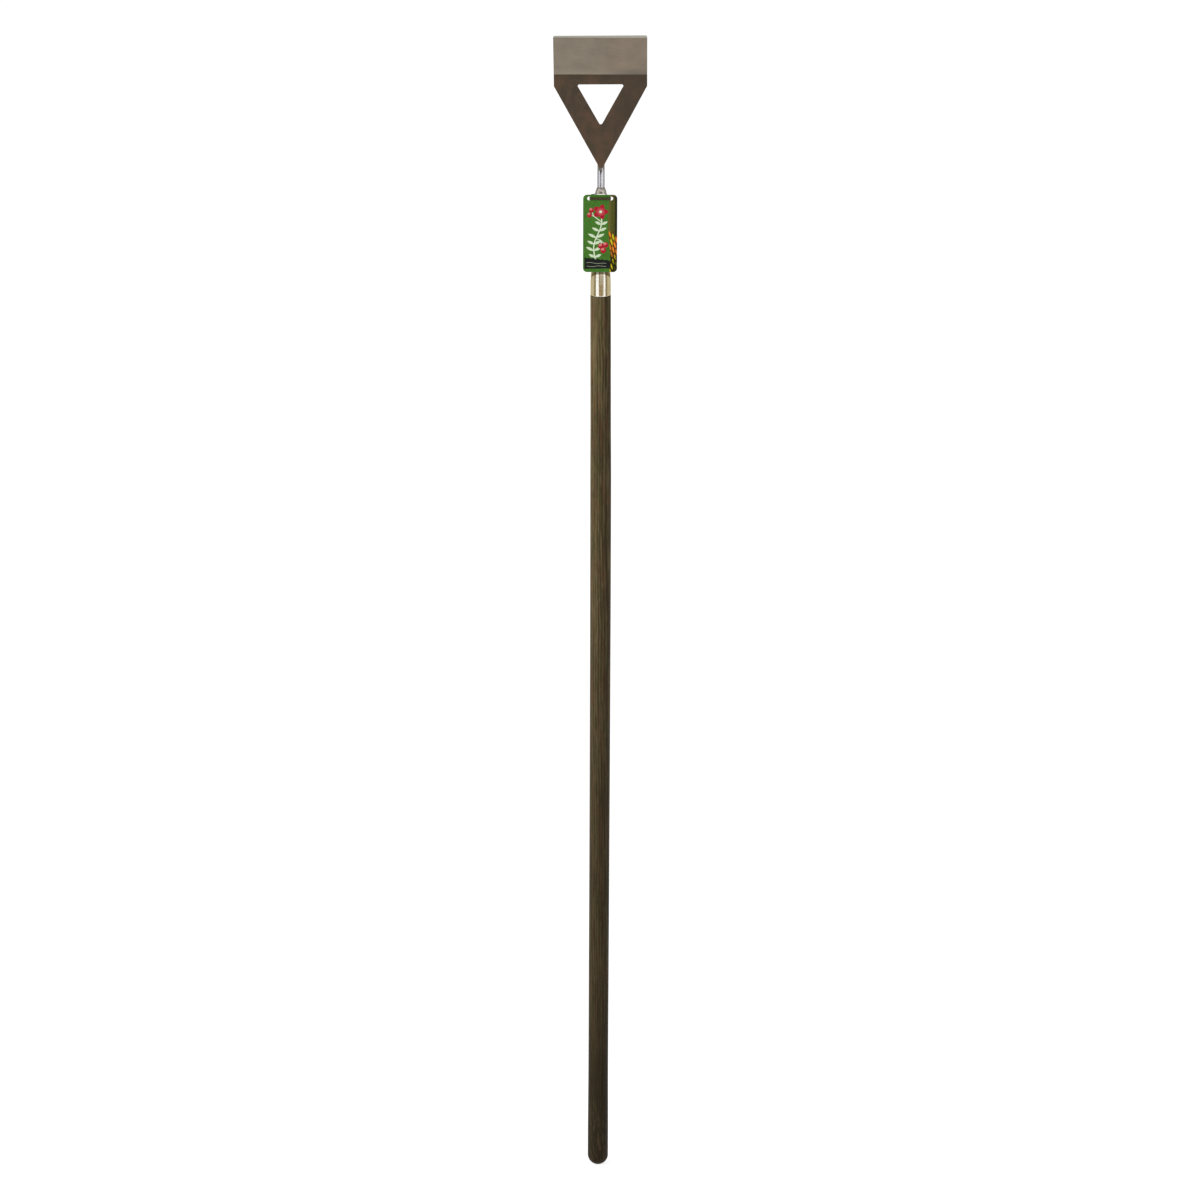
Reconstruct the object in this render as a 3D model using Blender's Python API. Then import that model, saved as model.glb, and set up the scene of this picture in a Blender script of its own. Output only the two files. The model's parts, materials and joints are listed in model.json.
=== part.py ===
"""Dutch hoe: a pressed steel head, a round neck and a tapered socket on a long turned ash handle.

The tool stands upright with its head at the top. +Z runs up the handle from the centre of its butt, +X is
to the right, and the front, with the card that hangs from the socket, faces -Y. Lengths are in metres.
Run it with blender --background --python part.py, or from Blender's text editor.
"""

from math import asin, atan2, cos, pi, radians, sin, sqrt, tan

import bmesh
import bpy
from mathutils import Matrix, Vector

# Clearance between pieces that touch on the real tool
SEAT = 0.0003

# Handle: one turned pole, with a tenon inside the socket
HANDLE_LENGTH = 1.372
TENON_LENGTH = 0.0615
TENON_CHAMFER = 0.0015
BUTT_FLAT_DIAMETER = 0.0088
BUTT_DIAMETER = 0.0297
BUTT_SWELL_HEIGHT = 0.030
WAIST_DIAMETER = 0.0288
WAIST_HEIGHT = 0.165
BELLY_DIAMETER = 0.0293
BELLY_BELOW_SOCKET = 0.270
SHOULDER_DIAMETER = 0.0285
SHOULDER_TAPER_LENGTH = 0.165
SHOULDER_ROUND = 0.0006

# Socket: a short parallel mouth, a straight taper and a nose that is swaged in to the bar
SOCKET_LENGTH = 0.144
SOCKET_WALL = 0.0016
MOUTH_DIAMETER = 0.0281
MOUTH_LENGTH = 0.0155
TAPER_END_DIAMETER = 0.0180
NOSE_LENGTH = 0.0045
NOSE_DIAMETER = 0.0156
NOSE_LAND = 0.008
LIP_ROUND = 0.0006

# Rivet through socket and tenon
RIVET_DIAMETER = 0.005
RIVET_HEAD_DIAMETER = 0.0084
RIVET_HEAD_HEIGHT = 0.0014
RIVET_ABOVE_LIP = 0.044

# Neck: a round bar that leaves the socket, bends forward and lies behind the plate
ROD_DIAMETER = 0.010
ROD_INSIDE_SOCKET = 0.025
NECK_LENGTH = 0.0222
NECK_BEND_RADIUS = 0.030
NECK_WELD_HEIGHT = 0.0067
NECK_WELD_STANDS_OFF = 0.0004
NECK_WELD_FULLNESS = 0.0003
NECK_WELD_RIPPLES = 22
NECK_WELD_RIPPLE_DEPTH = 0.00018

# Head plate: lengths run along its front face from the tip, leans are from the handle's axis
PLATE_THICKNESS = 0.0025
FRAME_LEAN = radians(12)
BLADE_LEAN = radians(30)
FRAME_LENGTH = 0.1382
BLADE_LENGTH = 0.0665
BLADE_WIDTH = 0.1273
BEND_RADIUS = 0.002
TIP_WIDTH = 0.0045
TIP_ROUND = 0.0010
TIP_PAST_NECK_BEND = 0.003
SHOULDER_BELOW_BEND = 0.0172
SHOULDER_CORNER_ROUND = 0.003
BLADE_CORNER_ROUND = 0.0028
EDGE_BEVEL_LENGTH = 0.0022
EDGE_THICKNESS = 0.0009

# Triangular opening in the frame
OPENING_HEIGHT = 0.0621
OPENING_WIDTH = 0.0654
OPENING_BELOW_BEND = 0.0148
OPENING_CORNER_ROUND = 0.0024

# Bead that joins the bar to the back of the plate
PLATE_WELD_DIAMETER = 0.0030
PLATE_WELD_START = 0.011
PLATE_WELD_END = 0.043
RIPPLE_LENGTH = 0.0030
RIPPLE_SHARE = 0.16

# Card and the tie that holds it
TAG_WIDTH = 0.0471
TAG_HEIGHT = 0.1089
TAG_THICKNESS = 0.0006
TAG_CORNER_ROUND = 0.0055
TAG_HOLE_DIAMETER = 0.0058
TAG_HOLE_SPACING = 0.0313
TAG_HOLE_BELOW_TOP = 0.0053
TAG_SIDE_SHIFT = -0.0010
TAG_HINGE_BELOW_NOSE = 0.005
TIE_WIDTH = 0.0034
TIE_THICKNESS = 0.0010
TIE_AHEAD_OF_TAG = 0.0013
TIE_CORNER_ROUND = 0.0015
TIE_INSET_IN_HOLE = 0.0012
TIE_LOCK_SIZE = (0.0052, 0.0042, 0.0058)
TIE_LOCK_ANGLE = radians(118)
TIE_LOCK_ROUND = 0.0006
TIE_TAIL_LENGTH = 0.0065
TIE_TAIL_ROUND = 0.00025

# Smoothness of the model, which is no part of the design
ROUND_STEPS = 48
CORNER_STEPS = 5
PROFILE_STEPS = 8
WELD_SIDES = 2
RIPPLE_POINTS = 3
BLOCK_ROUND_STEPS = 2
ROUND_PROFILE = 0.5
SMOOTH_ANGLE = radians(35)
SAME_POINT = 1e-7

# Places worked out from the sizes above
LIP_HEIGHT = HANDLE_LENGTH - TENON_LENGTH
NOSE_HEIGHT = LIP_HEIGHT + SOCKET_LENGTH
NECK_BEND_HEIGHT = NOSE_HEIGHT + SEAT + NECK_WELD_HEIGHT + NECK_LENGTH
RIVET_HEIGHT = LIP_HEIGHT + RIVET_ABOVE_LIP
HINGE_HEIGHT = NOSE_HEIGHT - TAG_HINGE_BELOW_NOSE
ROD_RADIUS = ROD_DIAMETER / 2
ROD_BEHIND_FRONT = PLATE_THICKNESS + SEAT + ROD_RADIUS
BLADE_TURN = BLADE_LEAN - FRAME_LEAN


def socket_radius(height):
    """Outer radius of the socket below its nose: parallel over the mouth, then a straight taper."""
    above_mouth = max(0.0, height - LIP_HEIGHT - MOUTH_LENGTH)
    share = above_mouth / (SOCKET_LENGTH - MOUTH_LENGTH - NOSE_LENGTH)
    return (MOUTH_DIAMETER + (TAPER_END_DIAMETER - MOUTH_DIAMETER) * share) / 2


def material(name, colour, roughness, metallic=0.0):
    """A Principled material with an sRGB colour."""
    made = bpy.data.materials.new(name)
    made.use_nodes = True
    shader = made.node_tree.nodes["Principled BSDF"]
    linear = [((part + 0.055) / 1.055) ** 2.4 for part in colour]
    shader.inputs["Base Color"].default_value = (*linear, 1.0)
    shader.inputs["Roughness"].default_value = roughness
    shader.inputs["Metallic"].default_value = metallic
    return made


def add_object(name, data, finish=None, parent=None):
    """Link an object for a mesh or a curve, give it its material and hang it on its parent."""
    made = bpy.data.objects.new(name, data)
    bpy.context.scene.collection.objects.link(made)
    made.parent = parent
    if finish:
        data.materials.append(finish)
    return made


def add_empty(name, location, turn=(0.0, 0.0, 0.0)):
    """A plain axis that carries other pieces."""
    made = add_object(name, None)
    made.location = location
    made.rotation_euler = turn
    return made


def mesh_from(name, shape):
    """Turn a bmesh into a mesh with its faces pointing out and round parts smooth."""
    bmesh.ops.remove_doubles(shape, verts=shape.verts, dist=SAME_POINT)
    bmesh.ops.recalc_face_normals(shape, faces=shape.faces)
    mesh = bpy.data.meshes.new(name)
    shape.to_mesh(mesh)
    shape.free()
    mesh.shade_smooth()
    mesh.set_sharp_from_angle(angle=SMOOTH_ANGLE)
    return mesh


def turned_mesh(name, profile, closed=False):
    """Spin a profile of (radius, height) points about Z. A closed profile makes a tube."""
    shape = bmesh.new()
    points = [shape.verts.new((radius, 0.0, height)) for radius, height in profile]
    edges = [shape.edges.new(pair) for pair in zip(points, points[1:])]
    if closed:
        edges.append(shape.edges.new((points[-1], points[0])))
    bmesh.ops.spin(
        shape, geom=points + edges, axis=(0, 0, 1), cent=(0, 0, 0), angle=2 * pi, steps=ROUND_STEPS,
        use_merge=True,
    )
    return mesh_from(name, shape)


def prism_mesh(name, outline, low, high):
    """Extrude a flat outline of (x, y) points from one height to another."""
    shape = bmesh.new()
    face = shape.faces.new([shape.verts.new((x, y, low)) for x, y in outline])
    lifted = bmesh.ops.extrude_face_region(shape, geom=[face])["geom"]
    moved = [part for part in lifted if isinstance(part, bmesh.types.BMVert)]
    bmesh.ops.translate(shape, verts=moved, vec=(0, 0, high - low))
    return mesh_from(name, shape)


def arc(centre, radius, start, end, steps):
    """Points on an arc between two angles, both ends included."""
    angles = [start + (end - start) * step / steps for step in range(steps + 1)]
    return [(centre[0] + radius * cos(angle), centre[1] + radius * sin(angle)) for angle in angles]


def rounded(corners):
    """An outline through (x, y, radius) corners, each rounded by an arc of its own radius."""
    outline = []
    for before, corner, after in zip(corners[-1:] + corners[:-1], corners, corners[1:] + corners[:1]):
        here, radius = Vector(corner[:2]), corner[2]
        back = (Vector(before[:2]) - here).normalized()
        ahead = (Vector(after[:2]) - here).normalized()
        half = back.angle(ahead) / 2
        centre = here + (back + ahead).normalized() * radius / sin(half)
        start = here + back * radius / tan(half) - centre
        sweep = pi - 2 * half
        if back.cross(ahead) > 0:
            sweep = -sweep
        first = atan2(start.y, start.x)
        outline += arc(centre, radius, first, first + sweep, CORNER_STEPS)
    return outline


def curve_tube(name, points, radius, scales, finish, parent=None):
    """A round bar or bead along a chain of points, with its own scale of radius at each."""
    curve = bpy.data.curves.new(name, "CURVE")
    curve.dimensions = "3D"
    curve.bevel_depth = radius
    curve.use_fill_caps = True
    spline = curve.splines.new("POLY")
    spline.points.add(len(points) - 1)
    for target, place, scale in zip(spline.points, points, scales):
        target.co = (*place, 1.0)
        target.radius = scale
    return add_object(name, curve, finish, parent)


def cut(target, cutter, operation="DIFFERENCE"):
    """Cut, trim or join with another object. A helper that only cuts stays out of the render."""
    boolean = target.modifiers.new(cutter.name, "BOOLEAN")
    boolean.operation = operation
    boolean.solver = "EXACT"
    boolean.object = cutter
    cutter.hide_render = True
    cutter.display_type = "WIRE"


def eased(low, high, share):
    """A value that leaves one level gently and arrives gently at the other."""
    return low + (high - low) * share * share * (3 - 2 * share)


def handle_profile():
    """Radius and height up the pole: butt, waist, belly, shoulder, then the tenon and its chamfer."""
    butt_radius, flat_radius = BUTT_DIAMETER / 2, BUTT_FLAT_DIAMETER / 2
    centre_height = sqrt(butt_radius**2 - flat_radius**2)
    start = asin(flat_radius / butt_radius) - pi / 2
    profile = [(0.0, 0.0)] + arc((0.0, centre_height), butt_radius, start, 0.0, PROFILE_STEPS)
    stations = [
        (BUTT_SWELL_HEIGHT, BUTT_DIAMETER),
        (WAIST_HEIGHT, WAIST_DIAMETER),
        (LIP_HEIGHT - BELLY_BELOW_SOCKET, BELLY_DIAMETER),
        (LIP_HEIGHT - SHOULDER_TAPER_LENGTH, SHOULDER_DIAMETER),
    ]
    for (low, low_width), (high, high_width) in zip(stations, stations[1:]):
        for step in range(PROFILE_STEPS):
            share = step / PROFILE_STEPS
            profile.append((eased(low_width, high_width, share) / 2, low + (high - low) * share))
    shoulder_radius, shoulder_height = SHOULDER_DIAMETER / 2, LIP_HEIGHT - SEAT
    profile.append((shoulder_radius, stations[-1][0]))
    round_centre = (shoulder_radius - SHOULDER_ROUND, shoulder_height - SHOULDER_ROUND)
    profile += arc(round_centre, SHOULDER_ROUND, 0.0, pi / 2, CORNER_STEPS)
    inside = SOCKET_WALL + SEAT
    taper_height = LIP_HEIGHT + MOUTH_LENGTH
    chamfer_height = HANDLE_LENGTH - TENON_CHAMFER
    profile += [
        (socket_radius(shoulder_height) - inside, shoulder_height),
        (socket_radius(taper_height) - inside, taper_height),
        (socket_radius(chamfer_height) - inside, chamfer_height),
        (socket_radius(chamfer_height) - inside - TENON_CHAMFER, HANDLE_LENGTH),
        (0.0, HANDLE_LENGTH),
    ]
    return profile


def socket_profile():
    """The wall of the socket: outside from the rounded lip to the nose, then back down the inside."""
    mouth_radius, nose_radius = MOUTH_DIAMETER / 2, NOSE_DIAMETER / 2
    inner_radius = mouth_radius - SOCKET_WALL
    taper_height = LIP_HEIGHT + MOUTH_LENGTH
    land_height = NOSE_HEIGHT - NOSE_LAND
    bore_radius = ROD_RADIUS + SEAT
    above_land = socket_radius(land_height) - SOCKET_WALL - bore_radius
    round_height = LIP_HEIGHT + LIP_ROUND
    outside = arc((mouth_radius - LIP_ROUND, round_height), LIP_ROUND, -pi / 2, 0.0, CORNER_STEPS)
    inside = arc((inner_radius + LIP_ROUND, round_height), LIP_ROUND, pi, 1.5 * pi, CORNER_STEPS)
    return outside + [
        (mouth_radius, taper_height),
        (TAPER_END_DIAMETER / 2, NOSE_HEIGHT - NOSE_LENGTH),
        (nose_radius, NOSE_HEIGHT),
        (bore_radius, NOSE_HEIGHT),
        (bore_radius, land_height),
        (bore_radius + above_land, land_height - above_land),
        (inner_radius, taper_height),
    ] + inside


def rivet_profile():
    """A shank between two shallow domes, turned about its own axis and centred on the socket."""
    seat = socket_radius(RIVET_HEIGHT - RIVET_HEAD_DIAMETER / 2) + SEAT
    head_radius = RIVET_HEAD_DIAMETER / 2
    dome_radius = (head_radius**2 + RIVET_HEAD_HEIGHT**2) / (2 * RIVET_HEAD_HEIGHT)
    reach = asin(head_radius / dome_radius)
    centre = (0.0, seat + RIVET_HEAD_HEIGHT - dome_radius)
    dome = arc(centre, dome_radius, pi / 2, pi / 2 - reach, CORNER_STEPS)
    dome[0] = (0.0, seat + RIVET_HEAD_HEIGHT)
    upper = dome + [(RIVET_DIAMETER / 2, seat)]
    return upper + [(radius, -height) for radius, height in reversed(upper)]


def neck_weld_mesh():
    """A rippled cone from the socket's nose to the bar, whose slope stands full by a half sine."""
    low = NOSE_HEIGHT + SEAT
    inner = ROD_RADIUS + SEAT
    top_radius = inner + NECK_WELD_STANDS_OFF
    slope = []
    for step in range(PROFILE_STEPS + 1):
        share = step / PROFILE_STEPS
        straight = NOSE_DIAMETER / 2 + (top_radius - NOSE_DIAMETER / 2) * share
        slope.append((straight + NECK_WELD_FULLNESS * sin(pi * share), low + NECK_WELD_HEIGHT * share))
    mesh = turned_mesh("neck_weld", [(inner, low)] + slope + [(inner, low + NECK_WELD_HEIGHT)], closed=True)
    for point in mesh.vertices:
        radius = sqrt(point.co.x**2 + point.co.y**2)
        if radius < top_radius or point.co.z < low + SEAT:
            continue
        wave = abs(sin(atan2(point.co.y, point.co.x) * NECK_WELD_RIPPLES / 2))
        scale = (radius - NECK_WELD_RIPPLE_DEPTH * wave) / radius
        point.co.x *= scale
        point.co.y *= scale
    return mesh


def neck_path():
    """Centre line and radius scales of the bar, from inside the socket to its domed end."""
    path = [(0.0, 0.0, NOSE_HEIGHT - ROD_INSIDE_SOCKET), (0.0, 0.0, NECK_BEND_HEIGHT)]
    for step in range(1, PROFILE_STEPS + 1):
        turn = FRAME_LEAN * step / PROFILE_STEPS
        back = NECK_BEND_RADIUS * (cos(turn) - 1)
        path.append((0.0, back, NECK_BEND_HEIGHT + NECK_BEND_RADIUS * sin(turn)))
    bend_end, ahead = Vector(path[-1]), Vector((0.0, -sin(FRAME_LEAN), cos(FRAME_LEAN)))
    scales = [1.0] * len(path)
    for step in range(PROFILE_STEPS):
        turn = pi / 2 * step / PROFILE_STEPS
        path.append(bend_end + ahead * (TIP_PAST_NECK_BEND + PLATE_WELD_END + ROD_RADIUS * sin(turn)))
        scales.append(cos(turn))
    return path, scales


def tip_place():
    """Where the plate's tip lies: on the front of the bar, a little past its bend."""
    bend_end = Vector(neck_path()[0][PROFILE_STEPS + 1])
    ahead = Vector((0.0, -sin(FRAME_LEAN), cos(FRAME_LEAN)))
    front = Vector((0.0, -cos(FRAME_LEAN), -sin(FRAME_LEAN)))
    return bend_end + ahead * TIP_PAST_NECK_BEND + front * ROD_BEHIND_FRONT


def plate_section():
    """Side view of the pressed sheet: x along the frame from the tip, y out of its front face."""
    past_tip = 2 * PLATE_THICKNESS
    bend_start = FRAME_LENGTH - BEND_RADIUS * tan(BLADE_TURN / 2)
    centre = (bend_start, BEND_RADIUS)
    inner = arc(centre, BEND_RADIUS, -pi / 2, BLADE_TURN - pi / 2, CORNER_STEPS)
    outer = arc(centre, BEND_RADIUS + PLATE_THICKNESS, BLADE_TURN - pi / 2, -pi / 2, CORNER_STEPS)
    along = Vector((cos(BLADE_TURN), sin(BLADE_TURN)))
    behind = Vector((sin(BLADE_TURN), -cos(BLADE_TURN)))
    bend = Vector((FRAME_LENGTH, 0.0))
    bevel_start = bend + along * (BLADE_LENGTH - EDGE_BEVEL_LENGTH)
    edge_front = bend + along * BLADE_LENGTH + behind * (PLATE_THICKNESS - EDGE_THICKNESS)
    edge_back = bend + along * BLADE_LENGTH + behind * PLATE_THICKNESS
    front = [(-past_tip, 0.0)] + inner + [tuple(bevel_start), tuple(edge_front)]
    return front + [tuple(edge_back)] + outer + [(-past_tip, -PLATE_THICKNESS)]


def plate_outline():
    """Front view of the plate, square to the frame: tip, shoulders and blade corners."""
    half_tip, half_blade = TIP_WIDTH / 2, BLADE_WIDTH / 2
    shoulder = FRAME_LENGTH - SHOULDER_BELOW_BEND
    end = FRAME_LENGTH + BLADE_LENGTH * cos(BLADE_TURN) + PLATE_THICKNESS * sin(BLADE_TURN)
    right = [
        (half_tip, 0.0, TIP_ROUND),
        (half_blade, shoulder, SHOULDER_CORNER_ROUND),
        (half_blade, end, BLADE_CORNER_ROUND),
    ]
    return rounded(right + [(-x, y, radius) for x, y, radius in reversed(right)])


def opening_outline():
    """The triangle that is punched out of the frame, wide end towards the blade."""
    top = FRAME_LENGTH - OPENING_BELOW_BEND
    half, radius = OPENING_WIDTH / 2, OPENING_CORNER_ROUND
    return rounded([(0.0, top - OPENING_HEIGHT, radius), (half, top, radius), (-half, top, radius)])


def add_head_plate(head, finish):
    """One pressing: the bent section right across, trimmed to the outline and punched through."""
    reach = BLADE_WIDTH / 2 + PLATE_THICKNESS
    strip = prism_mesh("head_plate", plate_section(), -reach, reach)
    strip.transform(Matrix(((0, 0, 1, 0), (1, 0, 0, 0), (0, 1, 0, 0), (0, 0, 0, 1))))
    plate = add_object("head_plate", strip, finish, head)
    depth = BLADE_LENGTH * sin(BLADE_TURN) + PLATE_THICKNESS
    trim = prism_mesh("plate_trim", plate_outline(), -2 * PLATE_THICKNESS, depth)
    cut(plate, add_object("plate_trim", trim, parent=head), "INTERSECT")
    punch = prism_mesh("opening_punch", opening_outline(), -2 * PLATE_THICKNESS, PLATE_THICKNESS)
    cut(plate, add_object("opening_punch", punch, parent=head))


def add_plate_weld(head, finish):
    """A rippled bead in the corner between bar and plate, up one side, round the end and back."""
    radius = PLATE_WELD_DIAMETER / 2
    depth = -(PLATE_THICKNESS + SEAT + radius)
    aside = sqrt((ROD_RADIUS + SEAT + radius) ** 2 - (ROD_RADIUS - radius) ** 2)
    straight = PLATE_WELD_END - PLATE_WELD_START
    length = 2 * straight + pi * aside
    count = max(2, round(length / RIPPLE_LENGTH)) * RIPPLE_POINTS
    points, scales = [], []
    for step in range(count + 1):
        run = length * step / count
        if run < straight:
            place = (-aside, PLATE_WELD_START + run, depth)
        elif run > length - straight:
            place = (aside, PLATE_WELD_START + length - run, depth)
        else:
            angle = pi - (run - straight) / aside
            place = (aside * cos(angle), PLATE_WELD_END + aside * sin(angle), depth)
        points.append(place)
        scales.append(1.0 - RIPPLE_SHARE * abs(cos(pi * step / RIPPLE_POINTS)))
    bead = curve_tube("plate_weld", points, radius, scales, finish, head)
    bead.data.bevel_resolution = WELD_SIDES


def belt(circles):
    """Points and outward directions of a loop drawn tight round (x, y, radius) circles in turn."""
    normals = []
    for here, there in zip(circles, circles[1:] + circles[:1]):
        apart = Vector(there[:2]) - Vector(here[:2])
        lean = (here[2] - there[2]) / apart.length
        ahead = apart.normalized()
        normals.append(ahead * lean + Vector((ahead.y, -ahead.x)) * sqrt(1 - lean * lean))
    loop = []
    for index, (x, y, radius) in enumerate(circles):
        arriving, leaving = normals[index - 1], normals[index]
        start = atan2(arriving.y, arriving.x)
        sweep = (atan2(leaving.y, leaving.x) - start) % (2 * pi)
        steps = max(2, round(sweep / (2 * pi) * ROUND_STEPS))
        for step in range(steps + 1):
            outward = Vector((cos(start + sweep * step / steps), sin(start + sweep * step / steps)))
            loop.append((Vector((x, y)) + outward * radius, outward))
    return loop


def tie_loop():
    """The strap seen from above: across the card, back through its holes and round the socket."""
    tag_plane = tag_depth()
    corner_x = TAG_HOLE_SPACING / 2 - TIE_INSET_IN_HOLE - TIE_CORNER_ROUND
    corner_y = tag_plane - TAG_THICKNESS / 2 - TIE_AHEAD_OF_TAG - TIE_THICKNESS / 2 + TIE_CORNER_ROUND
    back_radius = socket_radius(HINGE_HEIGHT - TIE_WIDTH / 2) + SEAT + TIE_THICKNESS / 2
    return belt([
        (TAG_SIDE_SHIFT - corner_x, corner_y, TIE_CORNER_ROUND),
        (TAG_SIDE_SHIFT + corner_x, corner_y, TIE_CORNER_ROUND),
        (0.0, 0.0, back_radius),
    ])


def tag_depth():
    """Y of the card's middle plane, with its back just clear of the socket at the card's foot."""
    foot = HINGE_HEIGHT + TAG_HOLE_BELOW_TOP - TAG_HEIGHT
    return -(socket_radius(foot) + SEAT + TAG_THICKNESS / 2)


def tie_strap_mesh():
    """The flat strap as one closed band: four rails along the loop, bridged by faces."""
    shape = bmesh.new()
    rings = []
    for place, outward in tie_loop():
        inner = place - outward * TIE_THICKNESS / 2
        outer = place + outward * TIE_THICKNESS / 2
        low, high = HINGE_HEIGHT - TIE_WIDTH / 2, HINGE_HEIGHT + TIE_WIDTH / 2
        corners = ((inner, low), (outer, low), (outer, high), (inner, high))
        rings.append([shape.verts.new((*flat, height)) for flat, height in corners])
    for ring, following in zip(rings, rings[1:] + rings[:1]):
        for side in range(4):
            after = (side + 1) % 4
            shape.faces.new((ring[side], ring[after], following[after], following[side]))
    return mesh_from("tag_tie", shape)


def rounded_block_mesh(name, size, centre, edge_round):
    """A block with all its edges rounded."""
    shape = bmesh.new()
    bmesh.ops.create_cube(shape, matrix=Matrix.LocRotScale(Vector(centre), None, Vector(size)))
    bmesh.ops.bevel(
        shape, geom=shape.edges[:], offset=edge_round, segments=BLOCK_ROUND_STEPS, profile=ROUND_PROFILE,
        affect="EDGES",
    )
    return mesh_from(name, shape)


def add_tag_tie(finish):
    """The strap, its lock at the back of the socket and the cut end that sticks out of the lock."""
    tie = add_object("tag_tie", tie_strap_mesh(), finish)
    along, deep, tall = TIE_LOCK_SIZE
    seat = socket_radius(HINGE_HEIGHT - tall / 2) + 2 * SEAT
    centre = (seat + deep / 2, 0.0, 0.0)
    lock = rounded_block_mesh("tie_lock", (deep, along, tall), centre, TIE_LOCK_ROUND)
    tail_size = (TIE_THICKNESS, TIE_TAIL_LENGTH + along / 2, TIE_WIDTH)
    tail_centre = (seat + deep / 2, (TIE_TAIL_LENGTH + along / 2) / 2, 0.0)
    tail = rounded_block_mesh("tie_tail", tail_size, tail_centre, TIE_TAIL_ROUND)
    for mesh in (lock, tail):
        helper = add_object(mesh.name, mesh)
        helper.location = (0.0, 0.0, HINGE_HEIGHT)
        helper.rotation_euler = (0.0, 0.0, TIE_LOCK_ANGLE)
        cut(tie, helper, "UNION")


def add_swing_tag(finish):
    """The card, with its origin on the axis that it swings about, through the middle of both holes."""
    half = TAG_WIDTH / 2
    top, foot = TAG_HOLE_BELOW_TOP, TAG_HOLE_BELOW_TOP - TAG_HEIGHT
    corners = [(-half, foot), (half, foot), (half, top), (-half, top)]
    outline = rounded([(x, y, TAG_CORNER_ROUND) for x, y in corners])
    pivot = add_empty("tag_pivot", (TAG_SIDE_SHIFT, tag_depth(), HINGE_HEIGHT), (pi / 2, 0.0, 0.0))
    card = prism_mesh("swing_tag", outline, -TAG_THICKNESS / 2, TAG_THICKNESS / 2)
    tag = add_object("swing_tag", card, finish, pivot)
    for side in (-1, 1):
        circle = arc((side * TAG_HOLE_SPACING / 2, 0.0), TAG_HOLE_DIAMETER / 2, 0.0, 2 * pi, ROUND_STEPS)
        punch = prism_mesh("tag_punch", circle[:-1], -TAG_THICKNESS, TAG_THICKNESS)
        cut(tag, add_object("tag_punch", punch, parent=pivot))


def add_rivet_drill():
    """The hole for the rivet, right through along X."""
    reach = MOUTH_DIAMETER / 2 + SOCKET_WALL
    circle = arc((0.0, 0.0), RIVET_DIAMETER / 2 + SEAT, 0.0, 2 * pi, ROUND_STEPS)
    drill = add_object("rivet_drill", prism_mesh("rivet_drill", circle[:-1], -reach, reach))
    drill.location = (0.0, 0.0, RIVET_HEIGHT)
    drill.rotation_euler = (0.0, pi / 2, 0.0)
    return drill


def build():
    """Clear the scene and make every piece."""
    for old in list(bpy.data.objects):
        bpy.data.objects.remove(old)

    plate_steel = material("plate_steel", (0.42, 0.37, 0.32), 0.42, 1.0)
    polished_steel = material("polished_steel", (0.80, 0.78, 0.76), 0.16, 1.0)
    socket_steel = material("socket_steel", (0.74, 0.71, 0.62), 0.28, 1.0)
    weld_steel = material("weld_steel", (0.55, 0.52, 0.49), 0.45, 1.0)
    stained_ash = material("stained_ash", (0.32, 0.28, 0.21), 0.55)
    printed_card = material("printed_card", (0.27, 0.51, 0.20), 0.35)
    dark_nylon = material("dark_nylon", (0.24, 0.20, 0.16), 0.45)

    drill = add_rivet_drill()
    handle = add_object("handle", turned_mesh("handle", handle_profile()), stained_ash)
    cut(handle, drill)
    socket = add_object("socket", turned_mesh("socket", socket_profile(), closed=True), socket_steel)
    cut(socket, drill)
    rivet = add_object("socket_rivet", turned_mesh("socket_rivet", rivet_profile()), polished_steel)
    rivet.location = (0.0, 0.0, RIVET_HEIGHT)
    rivet.rotation_euler = (0.0, pi / 2, 0.0)

    path, scales = neck_path()
    rod = curve_tube("neck_rod", path, ROD_RADIUS, scales, polished_steel)
    rod.data.bevel_resolution = ROUND_STEPS // 4 - 1
    add_object("neck_weld", neck_weld_mesh(), weld_steel)

    head = add_empty("head_frame", tip_place(), (pi / 2 + FRAME_LEAN, 0.0, 0.0))
    add_head_plate(head, plate_steel)
    add_plate_weld(head, weld_steel)

    add_tag_tie(dark_nylon)
    add_swing_tag(printed_card)


build()
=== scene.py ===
"""Dutch hoe: the finished look of a long handled push hoe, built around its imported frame.

Every piece is a surface worked out with numpy in the frame's own metres: +Z runs up the handle from its
butt, +X is to the right, and the front, with the hanging card, faces -Y. Sizes that the frame can tell are
read from it, and the others are properties in the 3D view's sidebar.
"""

import json
from math import cos, pi, radians, sin, tan

import bmesh
import bpy
import numpy as np
from bpy.props import FloatProperty, FloatVectorProperty, IntProperty, PointerProperty
from mathutils import Matrix, Vector


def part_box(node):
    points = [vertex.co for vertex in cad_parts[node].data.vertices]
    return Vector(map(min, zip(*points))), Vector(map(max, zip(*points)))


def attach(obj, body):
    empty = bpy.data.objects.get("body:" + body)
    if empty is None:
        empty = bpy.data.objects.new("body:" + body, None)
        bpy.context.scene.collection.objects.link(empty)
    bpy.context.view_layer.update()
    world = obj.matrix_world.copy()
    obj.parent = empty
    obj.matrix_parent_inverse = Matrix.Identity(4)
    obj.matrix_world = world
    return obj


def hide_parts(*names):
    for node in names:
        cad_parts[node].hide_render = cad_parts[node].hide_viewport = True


bl_info = {
    "name": "Dutch hoe",
    "version": (1, 0, 0),
    "blender": (4, 5, 0),
    "location": "View3D > Sidebar > Dutch hoe",
    "description": "Builds the finished pieces of a long handled push hoe around its frame",
    "category": "Object",
}

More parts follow.
